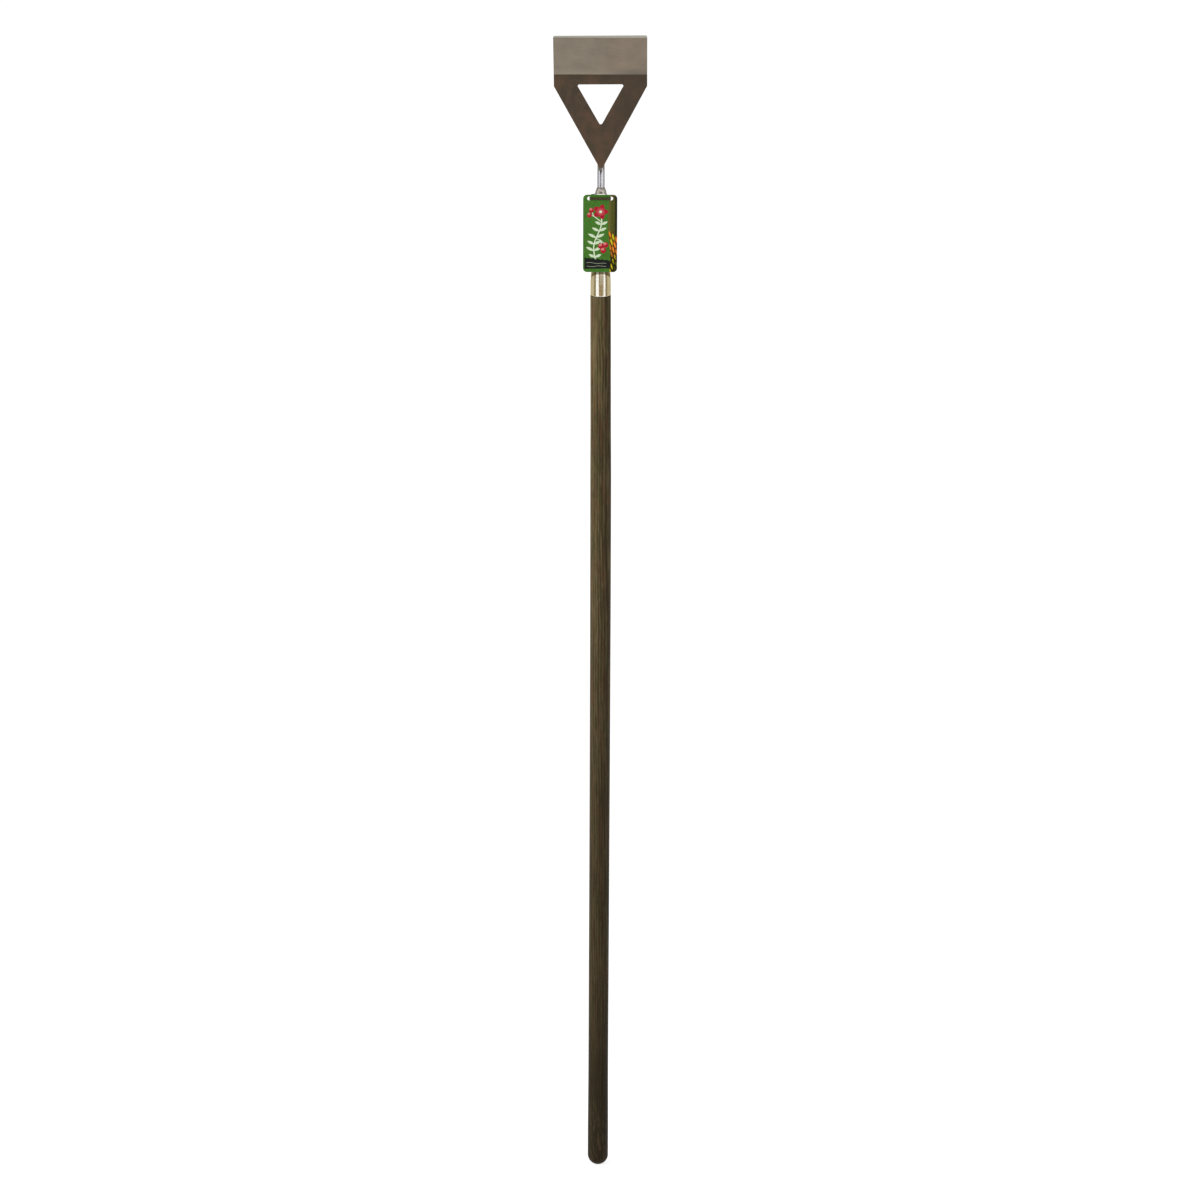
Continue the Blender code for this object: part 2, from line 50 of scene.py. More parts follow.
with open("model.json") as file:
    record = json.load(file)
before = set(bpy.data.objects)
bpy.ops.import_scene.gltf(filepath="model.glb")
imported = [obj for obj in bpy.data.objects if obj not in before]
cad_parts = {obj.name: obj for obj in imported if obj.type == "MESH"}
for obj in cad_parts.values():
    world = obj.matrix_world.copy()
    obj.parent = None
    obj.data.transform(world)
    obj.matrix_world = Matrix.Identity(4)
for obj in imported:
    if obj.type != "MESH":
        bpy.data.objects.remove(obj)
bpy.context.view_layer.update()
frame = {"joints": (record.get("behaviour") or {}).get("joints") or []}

# Bodies of the frame: all that is fixed to the handle, and the card that swings on its tie
TOOL = "tool"
CARD = "tag"

# Places and sizes that the frame tells
PLATE_LOW, PLATE_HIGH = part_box("head_plate")
ROD_LOW, ROD_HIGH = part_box("neck_rod")
NECK_WELD_LOW, NECK_WELD_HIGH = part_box("neck_weld")
SOCKET_LOW, SOCKET_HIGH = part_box("socket")
RIVET_LOW, RIVET_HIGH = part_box("socket_rivet")
HANDLE_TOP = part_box("handle")[1].z
CARD_LOW, CARD_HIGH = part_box("swing_tag")
TIE_LOW, TIE_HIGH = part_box("tag_tie")
HINGE = Vector(frame["joints"][0]["pos_m"])
BLADE_WIDTH = PLATE_HIGH.x - PLATE_LOW.x
ROD_RADIUS = (ROD_HIGH.x - ROD_LOW.x) / 2
MOUTH_RADIUS = (SOCKET_HIGH.x - SOCKET_LOW.x) / 2
SEAT = NECK_WELD_LOW.z - SOCKET_HIGH.z

# Points closer than this are merged, and faces that meet at less than this angle are shaded as one surface
SAME_POINT = 1e-7
SMOOTH_ANGLE = radians(38)

# Millimetres in a metre, and the ways to the right and up
MILLIMETRES = 1000.0
RIGHT = np.array((1.0, 0.0, 0.0))
UP = np.array((0.0, 0.0, 1.0))

# Plain white, and the rays that see the studio as white
WHITE = (1.0, 1.0, 1.0, 1.0)
SEEN_BY = ("Is Camera Ray", "Is Glossy Ray", "Is Transmission Ray")


def length(name, description, default):
    """A size in metres."""
    return FloatProperty(name=name, description=description, default=default, precision=5, unit="LENGTH")


def angle(name, description, degrees):
    """An angle that is written in degrees and kept in radians."""
    return FloatProperty(name=name, description=description, default=radians(degrees), subtype="ANGLE")


def share(name, description, default):
    """A plain factor."""
    return FloatProperty(name=name, description=description, default=default, min=0.0, subtype="FACTOR")


def colour(name, description, red, green, blue):
    """A colour as a screen shows it, with parts of 255."""
    parts = (red / 255, green / 255, blue / 255)
    return FloatVectorProperty(
        name=name, description=description, default=parts, size=3, min=0.0, max=1.0, subtype="COLOR_GAMMA"
    )


class HOE_PG_head(bpy.types.PropertyGroup):
    """The pressed plate: lengths along its front face from the tip, leans from the handle's axis."""

    thickness: length("Sheet", "Thickness of the pressed sheet", 0.0025)
    frame_lean: angle("Frame lean", "How far the triangular frame leans forward", 12)
    blade_lean: angle("Blade lean", "How far the blade leans forward", 30)
    frame_length: length("Frame length", "From the tip to the bend", 0.1382)
    blade_length: length("Blade length", "From the bend to the cutting edge", 0.0665)
    bend_radius: length("Bend", "Inner radius of the bend", 0.0020)
    tip_width: length("Tip width", "Width of the blunt tip", 0.0045)
    tip_round: length("Tip round", "Corner radius of the tip", 0.0010)
    shoulder_below_bend: length("Shoulder", "From the bend down to the shoulders", 0.0172)
    shoulder_round: length("Shoulder round", "Corner radius of the shoulders", 0.0030)
    corner_round: length("Blade corner", "Corner radius of the blade", 0.0028)
    bevel_length: length("Bevel", "Length of the ground cutting edge", 0.0022)
    edge_thickness: length("Edge", "Thickness left at the cutting edge", 0.0009)
    opening_height: length("Opening height", "Height of the triangle between its sharp corners", 0.0621)
    opening_width: length("Opening width", "Width of the triangle between its sharp corners", 0.0654)
    opening_below_bend: length("Opening place", "From the bend down to the triangle", 0.0148)
    opening_round: length("Opening corner", "Corner radius of the triangle", 0.0024)
    edge_round: length("Edge round", "Radius that the tumbled edges have", 0.00035)
    waviness: length("Waviness", "How far the sheet wanders from flat", 0.00005)
    askew: angle("Askew", "How far the head was welded out of line, in its own plane", 0.50)
    # The blade and the frame are one steel: the frame's darker brown is a painted reflection of a dark room
    blade_colour: colour("Blade", "Ground face of the blade", 139, 129, 115)
    frame_reflection_colour: colour("Frame", "Mill skin of the frame", 89, 80, 68)
    edge_colour: colour("Cutting edge", "Fresh steel along the cutting edge", 182, 180, 169)


class HOE_PG_neck(bpy.types.PropertyGroup):
    """The round bar and the two welds that hold it."""

    neck_length: length("Neck", "Straight bar between the socket's weld and the bend", 0.0222)
    bend_radius: length("Neck bend", "Radius of the bar's bend", 0.030)
    past_bend: length("Past bend", "From the bar's bend to the plate's tip", 0.003)
    bead_start: length("Bead start", "From the tip to the start of the bead", 0.011)
    bead_end: length("Bead end", "From the tip to the bar's end", 0.043)
    bead_diameter: length("Bead", "Diameter of the bead behind the plate", 0.0030)
    ripple: length("Ripple", "Length of one ripple of the bead", 0.0016)
    ripple_depth: share("Ripple depth", "Depth of a ripple as a share of the bead's radius", 0.12)
    ring_ripples: IntProperty(name="Ring ripples", description="Ripples round the nose", default=22)
    ring_ripple_depth: length("Ring ripple depth", "Depth of a ripple on the ring", 0.00032)
    ring_stands_off: length("Ring top", "How far the ring's top stands off the bar", 0.0004)
    ring_fullness: length("Ring fullness", "How far the ring's slope stands out of a straight cone", 0.0003)
    rod_colour: colour("Bar", "Polished bar", 218, 218, 223)
    weld_colour: colour("Weld", "Bright ripple tops", 216, 210, 200)
    tint_colour: colour("Heat tint", "Straw and brown tint beside a weld", 142, 132, 118)
    # Dark scale by a weld, also used for painted shade and painted reflections on the bar and the ring weld
    scale_and_shade_colour: colour("Scale", "Dark scale right beside a weld", 62, 56, 52)


class HOE_PG_socket(bpy.types.PropertyGroup):
    """The tapered tube that takes the handle, and its rivet."""

    wall: length("Wall", "Thickness of the tube", 0.0016)
    mouth_length: length("Mouth", "Length of the parallel mouth", 0.0155)
    taper_end: length("Taper end", "Diameter where the nose is swaged in", 0.0180)
    nose_length: length("Nose length", "Length of the swaged nose", 0.0045)
    nose_diameter: length("Nose", "Diameter at the weld", 0.0156)
    nose_land: length("Land", "Length of the bore that holds the bar", 0.008)
    lip_round: length("Lip", "Radius of the rounded lip", 0.0006)
    rivet_diameter: length("Rivet", "Diameter of the rivet's shank", 0.005)
    rivet_head_diameter: length("Rivet head", "Diameter of the rivet's head", 0.0084)
    rivet_head_height: length("Rivet dome", "Height of the rivet's head", 0.0014)
    steel_colour: colour("Steel", "Polished steel of the socket", 255, 252, 242)
    dull_colour: colour("Dull steel", "Patches of the socket that hands have dulled", 216, 206, 178)
    # Painted shadow: the dark band that the card's foot casts on the socket in front
    card_shadow_colour: colour("Rub mark", "Dark mark where the card's foot rubs", 112, 104, 72)


class HOE_PG_handle(bpy.types.PropertyGroup):
    """The turned pole."""

    flat_diameter: length("Butt flat", "Small flat under the butt", 0.0088)
    butt_diameter: length("Butt", "Diameter of the rounded butt", 0.0297)
    swell_height: length("Swell", "Height where the butt's swell ends", 0.030)
    waist_diameter: length("Waist", "Diameter of the waist above the butt", 0.0288)
    waist_height: length("Waist height", "Height of the waist", 0.165)
    belly_diameter: length("Belly", "Greatest diameter near the socket", 0.0293)
    belly_below_socket: length("Belly place", "From the socket down to the belly", 0.270)
    shoulder_diameter: length("Shoulder", "Diameter under the socket", 0.0285)
    shoulder_taper: length("Shoulder taper", "Length of the taper up to the socket", 0.165)
    shoulder_round: length("Shoulder edge", "Radius of the shoulder's edge", 0.0006)
    tenon_chamfer: length("Tenon chamfer", "Chamfer at the tenon's end", 0.0015)
    out_of_round: length("Out of round", "How far the turned surface wanders", 0.00006)
    bow: length("Bow", "How far the pole bows to the right of a straight line", 0.00115)
    ring_width: length("Growth ring", "Width of one year's growth", 0.0036)
    light_colour: colour("Light grain", "Stained late wood", 116, 102, 73)
    dark_colour: colour("Dark grain", "Stained early wood", 61, 51, 36)
    russet_colour: colour("Russet grain", "Stained wood with a red cast", 100, 71, 44)
    olive_colour: colour("Olive grain", "Stained wood with a green cast", 82, 77, 38)
    pore_colour: colour("Pores", "Open pores filled with stain", 30, 23, 11)


class HOE_PG_card(bpy.types.PropertyGroup):
    """The printed card."""

    corner_round: length("Corner", "Corner radius", 0.0055)
    hole_diameter: length("Hole", "Diameter of a punched hole", 0.0052)
    hole_spacing: length("Hole spacing", "Between the middles of the holes", 0.0305)
    edge_round: length("Edge round", "Softness of the cut edge", 0.00012)
    curl: length("Curl", "How far the foot of the card curls forward", 0.0008)
    green_colour: colour("Green", "Ground of the print", 71, 121, 42)
    red_colour: colour("Red", "Berries and blossom", 172, 18, 46)
    pink_colour: colour("Pink", "Light side of the red print", 232, 148, 138)
    pale_colour: colour("Pale", "Stem, leaves and the middle of the blossom", 216, 230, 200)
    black_colour: colour("Black", "Soil along the foot", 26, 28, 27)
    orange_colour: colour("Orange", "Ripe ears", 240, 136, 34)
    yellow_colour: colour("Yellow", "Palest ears", 212, 196, 24)
    brown_colour: colour("Brown", "Shade between the ears", 84, 40, 8)
    olive_colour: colour("Olive", "Ground behind the ears, and their grassy foot", 100, 96, 43)
    dusk_colour: colour("Dusk", "Middle of that ground", 77, 77, 30)
    night_colour: colour("Night", "Dark side of that ground", 26, 28, 3)
    board_colour: colour("Board", "Bare board on the back and the edges", 226, 222, 208)


class HOE_PG_tie(bpy.types.PropertyGroup):
    """The cable tie."""

    thickness: length("Strap", "Thickness of the strap", 0.0010)
    width: length("Strap width", "Width of the strap", 0.0034)
    ahead: length("Ahead", "From the card's face to the strap's middle", 0.0013)
    corner_round: length("Strap corner", "Radius of the strap's bend at a hole", 0.0015)
    inset: length("Strap inset", "From a hole's middle to the strap's middle", 0.0008)
    tooth: length("Tooth", "Pitch of the strap's teeth", 0.0011)
    tooth_depth: length("Tooth depth", "Depth of a tooth", 0.00022)
    lock_along: length("Lock length", "Length of the lock along the strap", 0.0052)
    lock_deep: length("Lock depth", "Depth of the lock out from the socket", 0.0042)
    lock_tall: length("Lock height", "Height of the lock", 0.0058)
    lock_round: length("Lock round", "Edge radius of the lock", 0.0006)
    lock_angle: angle("Lock place", "Where the lock sits round the socket", 118)
    tail: length("Tail", "Length of the cut end past the lock", 0.0065)
    nylon_colour: colour("Nylon", "Dark brown nylon", 44, 36, 21)
    worn_colour: colour("Rubbed nylon", "Rubbed patches", 94, 74, 48)


class HOE_PG_stage(bpy.types.PropertyGroup):
    """Camera, lamps and floor."""

    elevation: angle("Elevation", "How far the camera looks down", 17)
    distance: length("Distance", "From the camera to the point it looks at", 6.45)
    aim_height: length("Aim height", "Height of the point that the camera looks at", 0.867)
    aim_side: length("Aim side", "How far that point lies to the right of the handle", 0.0005)
    roll: angle("Roll", "Tilt of the picture", 0.186)
    lens: FloatProperty(name="Lens", description="Focal length on a 36 mm sensor, in mm", default=136.5)
    ambient: share("Ambient", "Level of the even light from all round", 0.60)
    key_power: FloatProperty(name="Key", description="Power of the lamp at the left, in W", default=50.0)
    fill_power: FloatProperty(name="Fill", description="Power of the lamp at the right, in W", default=1.0)
    front_distance: length("Front board", "From the handle to the studio boards in front", 0.9)
    side_distance: length("Side boards", "From the handle to the studio boards at its sides", 0.4)
    board_fall: angle("Board fall", "How far a look that the neck throws back leads down", 10.2)
    amber_tone: colour("Amber board", "Glow of the board in front of the socket", 128, 103, 30)
    slate_tone: colour("Slate board", "Glow of the board in front of the bar", 98, 93, 101)
    umber_tone: colour("Umber board", "Glow of the socket's side boards at their front edge", 120, 102, 60)
    tan_tone: colour("Tan board", "Glow of the socket's side boards further back", 188, 177, 142)
    grey_tone: colour("Grey board", "Glow of the bar's side boards at their front edge", 146, 146, 145)
    ash_tone: colour("Ash board", "Glow of the bar's side boards further back", 158, 158, 156)
    floor_colour: colour("Floor", "Pale floor", 232, 232, 230)


def toned(parts, red, green, blue):
    """A colour with each of its parts times a factor."""
    return parts[0] * red, parts[1] * green, parts[2] * blue


def dimmed(parts, factor):
    """A colour with all of its parts times one factor."""
    return toned(parts, factor, factor, factor)


def linear(parts):
    """A screen colour as the linear colour with alpha that shaders take."""
    return (*(((part + 0.055) / 1.055) ** 2.4 if part > 0.04045 else part / 12.92 for part in parts), 1.0)


class Value:
    """A shader socket in an expression. Arithmetic with it adds Math nodes to its finish."""

    def __init__(self, finish, socket):
        self.finish = finish
        self.socket = socket

    def __add__(self, other):
        return self.finish.math("ADD", self, other)

    def __radd__(self, other):
        return self.finish.math("ADD", other, self)

    def __sub__(self, other):
        return self.finish.math("SUBTRACT", self, other)

    def __rsub__(self, other):
        return self.finish.math("SUBTRACT", other, self)

    def __mul__(self, other):
        return self.finish.math("MULTIPLY", self, other)

    def __rmul__(self, other):
        return self.finish.math("MULTIPLY", other, self)

    def __truediv__(self, other):
        return self.finish.math("DIVIDE", self, other)

    def __pow__(self, other):
        return self.finish.math("POWER", self, other)

    def __abs__(self):
        return self.finish.math("ABSOLUTE", self)

    def fraction(self):
        """What is left over a whole number."""
        return self.finish.math("FRACT", self)

    def whole(self):
        """The whole number below."""
        return self.finish.math("FLOOR", self)

    def wave(self):
        """The sine of the value in radians."""
        return self.finish.math("SINE", self)

    def larger(self, other):
        """The larger of two values."""
        return self.finish.math("MAXIMUM", self, other)

    def smaller(self, other):
        """The smaller of two values."""
        return self.finish.math("MINIMUM", self, other)

    def rise(self, low, high):
        """0 up to low, 1 from high, and a smooth step in between."""
        inputs = {"Value": self, "From Min": low, "From Max": high}
        return self.finish.add("ShaderNodeMapRange", {"interpolation_type": "SMOOTHSTEP"}, inputs)


class Finish:
    """A material in the making. Lengths in its expressions are millimetres of the frame."""

    def __init__(self, name):
        self.material = bpy.data.materials.new(name)
        self.material.use_nodes = True
        self.tree = self.material.node_tree
        self.shader = self.tree.nodes["Principled BSDF"]
        where = self.add("ShaderNodeTexCoord", {}, {}, "Object")
        self.where = self.add(
            "ShaderNodeVectorMath", {"operation": "SCALE"}, {0: where, "Scale": MILLIMETRES}
        )

    def feed(self, socket, value):
        """Link a value to a socket, or set a plain number or colour on it."""
        if isinstance(value, Value):
            self.tree.links.new(value.socket, socket)
        else:
            socket.default_value = value

    def add(self, kind, settings, inputs, output=0):
        """Add a node: its settings first, and then the values or links of its sockets."""
        node = self.tree.nodes.new(kind)
        for name, setting in settings.items():
            setattr(node, name, setting)
        for key, value in inputs.items():
            self.feed(node.inputs[key], value)
        return Value(self, node.outputs[output])

    def math(self, operation, *values):
        """A Math node on one or two values."""
        return self.add("ShaderNodeMath", {"operation": operation}, dict(enumerate(values)))

    def place(self):
        """X, Y and Z of the surface in millimetres of the frame, from the object's own coordinates."""
        return [self.add("ShaderNodeSeparateXYZ", {}, {0: self.where}, axis) for axis in "XYZ"]

    def vector(self, x, y, z):
        """Three values as one vector."""
        return self.add("ShaderNodeCombineXYZ", {}, {0: x, 1: y, 2: z})

    def noise(self, grain, detail=2.0, roughness=0.5, distortion=0.0):
        """Soft noise from 0 to 1. Grain is its features per millimetre along X, Y and Z, or a vector of the
        surface whose units are about a feature long."""
        if not isinstance(grain, Value):
            grain = self.add("ShaderNodeVectorMath", {"operation": "MULTIPLY"}, {0: self.where, 1: grain})
        inputs = {"Vector": grain, "Scale": 1.0, "Detail": detail, "Roughness": roughness}
        inputs["Distortion"] = distortion
        return self.add("ShaderNodeTexNoise", {}, inputs, "Fac")

    def mix(self, low, high, amount):
        """A colour that turns from low to high, each of them a value or a screen colour."""
        low, high = (tone if isinstance(tone, Value) else linear(tone) for tone in (low, high))
        return self.add("ShaderNodeMix", {"data_type": "RGBA"}, {0: amount, 6: low, 7: high}, 2)

    def layer(self, name):
        """A value that the mesh carries at its points."""
        return self.add("ShaderNodeAttribute", {"attribute_name": name}, {}, "Fac")

    def relief(self, height, depth):
        """A bumped normal from a height of 0 to 1, with its full depth in millimetres."""
        inputs = {"Height": height, "Distance": depth / MILLIMETRES, "Strength": 1.0}
        return self.add("ShaderNodeBump", {}, inputs)

    def surface(self, **sockets):
        """Feed the shader's sockets, named in lower case with low lines, and give the material."""
        for name, value in sockets.items():
            wanted = name.replace("_", " ").lower()
            found = [socket for socket in self.shader.inputs if socket.name.lower() == wanted]
            self.feed(found[0], value)
        return self.material

    def instead(self, shader):
        """Let another shader take the usual one's place, and give the material."""
        self.tree.nodes.remove(self.shader)
        self.feed(self.tree.nodes["Material Output"].inputs["Surface"], shader)
        return self.material


def apart(across, up):
    """The distance between two places, from their distances along two axes."""
    return (across * across + up * up) ** 0.5


def grid_faces(rows, columns, close_rows, close_columns):
    """Quads between neighbours of a grid that is numbered row by row, joined end to start where closed."""
    row, column = np.meshgrid(
        np.arange(rows if close_rows else rows - 1),
        np.arange(columns if close_columns else columns - 1),
        indexing="ij",
    )
    next_row, next_column = (row + 1) % rows, (column + 1) % columns
    corners = [(row, column), (row, next_column), (next_row, next_column), (next_row, column)]
    return np.stack([r * columns + c for r, c in corners], axis=-1).reshape(-1, 4)


def shell(points, close_rows=False, close_columns=False):
    """A grid of points as one surface. Points that coincide, as at a pole, are merged with the piece."""
    rows, columns = points.shape[:2]
    return points.reshape(-1, 3), grid_faces(rows, columns, close_rows, close_columns)


def add_piece(name, shells, finish, body, nodes=(), layers=None):
    """Make one object of shells, with its place in its mesh, and hang it on a body of the frame."""
    starts = np.cumsum([0] + [len(points) for points, _ in shells[:-1]])
    points = np.concatenate([points for points, _ in shells])
    faces = np.concatenate([quads + start for (_, quads), start in zip(shells, starts)])
    mesh = bpy.data.meshes.new(name)
    mesh.from_pydata(points.tolist(), [], faces.tolist())
    for layer, values in (layers or {}).items():
        mesh.attributes.new(layer, "FLOAT", "POINT").data.foreach_set("value", values.astype(np.float32))
    shape = bmesh.new()
    shape.from_mesh(mesh)
    bmesh.ops.remove_doubles(shape, verts=shape.verts, dist=SAME_POINT)
    bmesh.ops.recalc_face_normals(shape, faces=shape.faces)
    shape.to_mesh(mesh)
    shape.free()
    mesh.shade_smooth()
    mesh.set_sharp_from_angle(angle=SMOOTH_ANGLE)
    mesh.materials.append(finish)
    piece = bpy.data.objects.new(name, mesh)
    bpy.context.scene.collection.objects.link(piece)
    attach(piece, body)
    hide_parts(*nodes)


def headings(turn):
    """Unit vectors (cos a, sin a) at angles a."""
    return np.stack([np.cos(turn), np.sin(turn)], axis=-1)


def all_round(steps):
    """Evenly spaced angles, once round."""
    return np.arange(steps) * 2 * pi / steps


def arc(centre, radius, start, end, count):
    """Points on an arc between two angles, both ends included."""
    return np.array(centre) + radius * headings(np.linspace(start, end, count))


def turned(profile, steps=96, close_profile=False):
    """A profile of (radius, height) carried round Z: (r cos a, r sin a, h) over profile and angle a."""
    around = all_round(steps)
    radius, height = profile[:, :1], profile[:, 1:]
    points = np.stack(
        [radius * np.cos(around), radius * np.sin(around), np.broadcast_to(height, (len(profile), steps))],
        axis=-1,
    )
    return shell(points, close_rows=close_profile, close_columns=True)


def carried(path, side, lift, profile, close_path=False):
    """A closed profile of (side, lift) offsets carried along a path: path + side * s + lift * l.
    The profile may be one for the whole path or one for each of its points."""
    profile = np.broadcast_to(profile, (len(path), *profile.shape[-2:]))
    points = path[:, None] + side[:, None] * profile[..., :1] + lift[:, None] * profile[..., 1:]
    return shell(points, close_rows=close_path, close_columns=True)


def filleted(corners, closed):
    """A chain of points with outward normals round (x, y, radius, arc points, straight points) corners.

    The chain runs counter-clockwise, so outward is to its right. An arc's centre lies back from its corner
    by (n1 + n2) * radius / (1 + n1 . n2), with n1 and n2 the normals of the two lines that meet there."""
    corners = np.array(corners, float)
    here = corners[:, :2]
    along = np.roll(here, -1, axis=0) - here
    along /= np.linalg.norm(along, axis=1, keepdims=True)
    leaving = np.stack([along[:, 1], -along[:, 0]], axis=1)
    arriving = np.roll(leaving, 1, axis=0)
    if not closed:
        leaving[-1] = arriving[-1]
        arriving[0] = leaving[0]
    parts = []
    for corner, before, after in zip(corners, arriving, leaving):
        radius = corner[2]
        centre = corner[:2] - (before + after) * radius / (1 + before @ after)
        start = np.arctan2(before[1], before[0])
        sweep = (np.arctan2(after[1], after[0]) - start + pi) % (2 * pi) - pi
        turn = start + sweep * np.linspace(0, 1, int(corner[3]))
        normal = headings(turn)
        parts.append(np.hstack([centre + radius * normal, normal]))
    chain = []
    for index, part in enumerate(parts):
        chain.append(part)
        if index == len(parts) - 1 and not closed:
            break
        count = int(corners[index, 4])
        step = np.arange(1, count + 1)[:, None] / (count + 1)
        start, end = part[-1], parts[(index + 1) % len(parts)][0]
        line = start[:2] + (end[:2] - start[:2]) * step
        chain.append(np.hstack([line, np.broadcast_to(start[2:], line.shape)]))
    return np.concatenate(chain)


def inset(chain, distance):
    """The points of a chain moved in from the edge."""
    return chain[:, :2] - chain[:, 2:] * distance


def ring_block(inner, outer, count):
    """Flat points between two closed chains of as many points, closest together at both."""
    between = (1 - np.cos(np.linspace(0, pi, count)))[:, None, None] / 2
    return inner + (outer - inner) * between


def sheet_shells(blocks, rims, place, edge_round, thickness, quarter=4):
    """A sheet's two faces and its rounded edges.

    A block is (flat points, whether its columns close). A rim is a closed chain of (x, y, normal). place
    takes flat points and depth, 0 on the front and 1 on the back. Round the edge, at an angle a from 0 to
    180 degrees, a point lies in from the rim by r (1 - sin a), and its depth is r (1 - cos a) up to the
    half and r (1 + cos a) short of the back beyond it. Gives the shells and each point's depth."""
    shells, depths = [], []
    for points, close_columns in blocks:
        for depth in (0.0, 1.0):
            level = np.full(points.shape[:2], depth)
            shells.append(shell(place(points, level), close_columns=close_columns))
            depths.append(level.ravel())
    turn = np.linspace(0, pi / 2, quarter)
    reach = edge_round / thickness
    front = reach * (1 - np.cos(turn))
    level = np.concatenate([front, 1 - front[::-1]])
    back_in = edge_round * (1 - np.sin(turn))
    inward = np.concatenate([back_in, back_in[::-1]])
    for rim in rims:
        points = rim[None, :, :2] - rim[None, :, 2:] * inward[:, None, None]
        around = np.broadcast_to(level[:, None], points.shape[:2])
        shells.append(shell(place(points, around), close_columns=True))
        depths.append(around.ravel())
    return shells, np.concatenate(depths)


def eased(low, high, amount):
    """A value that leaves one level gently and arrives gently at the other."""
    return low + (high - low) * amount * amount * (3 - 2 * amount)


def head_axes(head):
    """The plate's tip on its front face, the way along the frame and the way out of its front."""
    lean = head.frame_lean
    along = np.array((0.0, -sin(lean), cos(lean)))
    front = np.array((0.0, -cos(lean), -sin(lean)))
    tip = np.array((0.0, PLATE_HIGH.y - head.thickness * cos(lean), PLATE_LOW.z))
    return tip, along, front


def set_askew(head, points):
    """Points of the head turned about its tip, in the plane of the frame."""
    tip, _, front = head_axes(head)
    turn = np.array(Matrix.Rotation(head.askew, 3, Vector(front)))
    return tip + (points - tip) @ turn.T


def bend_of(head):
    """The angle of the plate's bend, and where it starts along the front face from the tip."""
    turn = head.blade_lean - head.frame_lean
    return turn, head.frame_length - head.bend_radius * tan(turn / 2)


def bent(head, run, depth):
    """Where a flat sheet's point comes to lie once it is bent, as (along the frame, out of its front).

    The front face is straight up to the bend, follows an arc of the bend's radius through the turn, and is
    straight again. A point deeper in the sheet lies back along the face's normal."""
    turn, start = bend_of(head)
    bend = np.clip((run - start) / head.bend_radius, 0, turn)
    past = np.maximum(run - start - head.bend_radius * turn, 0)
    along = np.minimum(run, start) + head.bend_radius * np.sin(bend) + past * np.cos(bend)
    out = head.bend_radius * (1 - np.cos(bend)) + past * np.sin(bend)
    return along + np.sin(bend) * depth, out - np.cos(bend) * depth


def plate_end(head):
    """The length of the plate's front face, from the tip round the bend to the cutting edge."""
    turn, start = bend_of(head)
    return start + head.bend_radius * (turn - tan(turn / 2)) + head.blade_length


def plate_surface(head):
    """The plate as a ring round the opening and a block for the blade, both flat, then bent.

    Up to its corners the blade is as wide as it gets, w to each side. Where a corner of radius R rounds it,
    a row that is end - R + R sin a from the tip reaches w - R + R cos a to each side."""
    half, tip_half, end = BLADE_WIDTH / 2, head.tip_width / 2, plate_end(head)
    turn, bend_start = bend_of(head)
    split = bend_start - head.bend_radius / 4
    shoulder = head.frame_length - head.shoulder_below_bend
    # Points along each stretch of the frame's edge, and columns of the blade
    side, rounding, slant, tip, columns = 6, 7, 34, 7, 61
    lower = filleted([
        (-half, split, 0, 1, side),
        (-half, shoulder, head.shoulder_round, rounding, slant),
        (-tip_half, 0, head.tip_round, tip, side),
        (tip_half, 0, head.tip_round, tip, slant),
        (half, shoulder, head.shoulder_round, rounding, side),
        (half, split, 0, 1, 0),
    ], closed=False)
    top = head.frame_length - head.opening_below_bend
    corner = 1 + side + rounding
    opening = filleted([
        (-head.opening_width / 2, top, head.opening_round, corner, slant),
        (0, top - head.opening_height, head.opening_round, 2 * tip + side, slant),
        (head.opening_width / 2, top, head.opening_round, corner, columns - 2),
    ], closed=True)
    opening[:, 2:] *= -1

    across = np.cos(np.linspace(0, pi, columns))
    corner_low = end - head.corner_round
    bend_rows = bend_start + head.bend_radius * turn * np.linspace(0, 1, 7)
    straight = np.linspace(bend_rows[-1], corner_low, 24)[1:-1]
    bevel_turn = np.arcsin(1 - head.bevel_length / head.corner_round)
    turns = np.concatenate([np.linspace(0, bevel_turn, 3), np.linspace(bevel_turn, pi / 2, 10)[1:]])
    turns = np.concatenate([np.zeros(1 + len(bend_rows) + len(straight)), turns])
    rows = np.concatenate([[split], bend_rows, straight])
    rows = np.concatenate([rows, corner_low + head.corner_round * np.sin(turns[len(rows):])])
    widths = half - head.corner_round * (1 - np.cos(turns))
    right = np.stack([widths, rows, np.cos(turns), np.sin(turns)], axis=1)
    left = right * (-1, 1, -1, 1)
    edge_x = across[1:-1] * widths[-1]
    edge = np.stack([edge_x, edge_x * 0 + end, edge_x * 0, edge_x * 0 + 1], axis=1)
    outline = np.concatenate([lower, right[1:], edge, left[:0:-1]])

    inner_edge = inset(right, head.edge_round)
    blade = np.stack(np.broadcast_arrays(across * inner_edge[:, :1], inner_edge[:, 1:]), axis=-1)
    outer = np.concatenate([inset(lower, head.edge_round), blade[0, 1:-1]])
    ring = ring_block(inset(opening, head.edge_round), outer, 14)
    tip_place, along, front = head_axes(head)

    def place(flat, depth):
        """Depth 0 lies on the front face, which the bevel sets back near the edge, and 1 on the back. The
        sheet wanders by d sin(71 x + 0.6) sin(83 s + 19 x) at a length s from the tip."""
        x, run = flat[..., 0], flat[..., 1]
        bevel = np.clip((run - end + head.bevel_length) / head.bevel_length, 0, 1)
        set_back = bevel * (head.thickness - head.edge_thickness)
        deep = set_back + (head.thickness - set_back) * depth
        deep = deep + head.waviness * np.sin(x * 71 + 0.6) * np.sin(run * 83 + x * 19)
        up, out = bent(head, run, deep)
        flat = tip_place + up[..., None] * along + out[..., None] * front
        return set_askew(head, flat + x[..., None] * RIGHT)

    blocks = [(ring, True), (blade, False)]
    return sheet_shells(blocks, [outline, opening], place, head.edge_round, head.thickness)


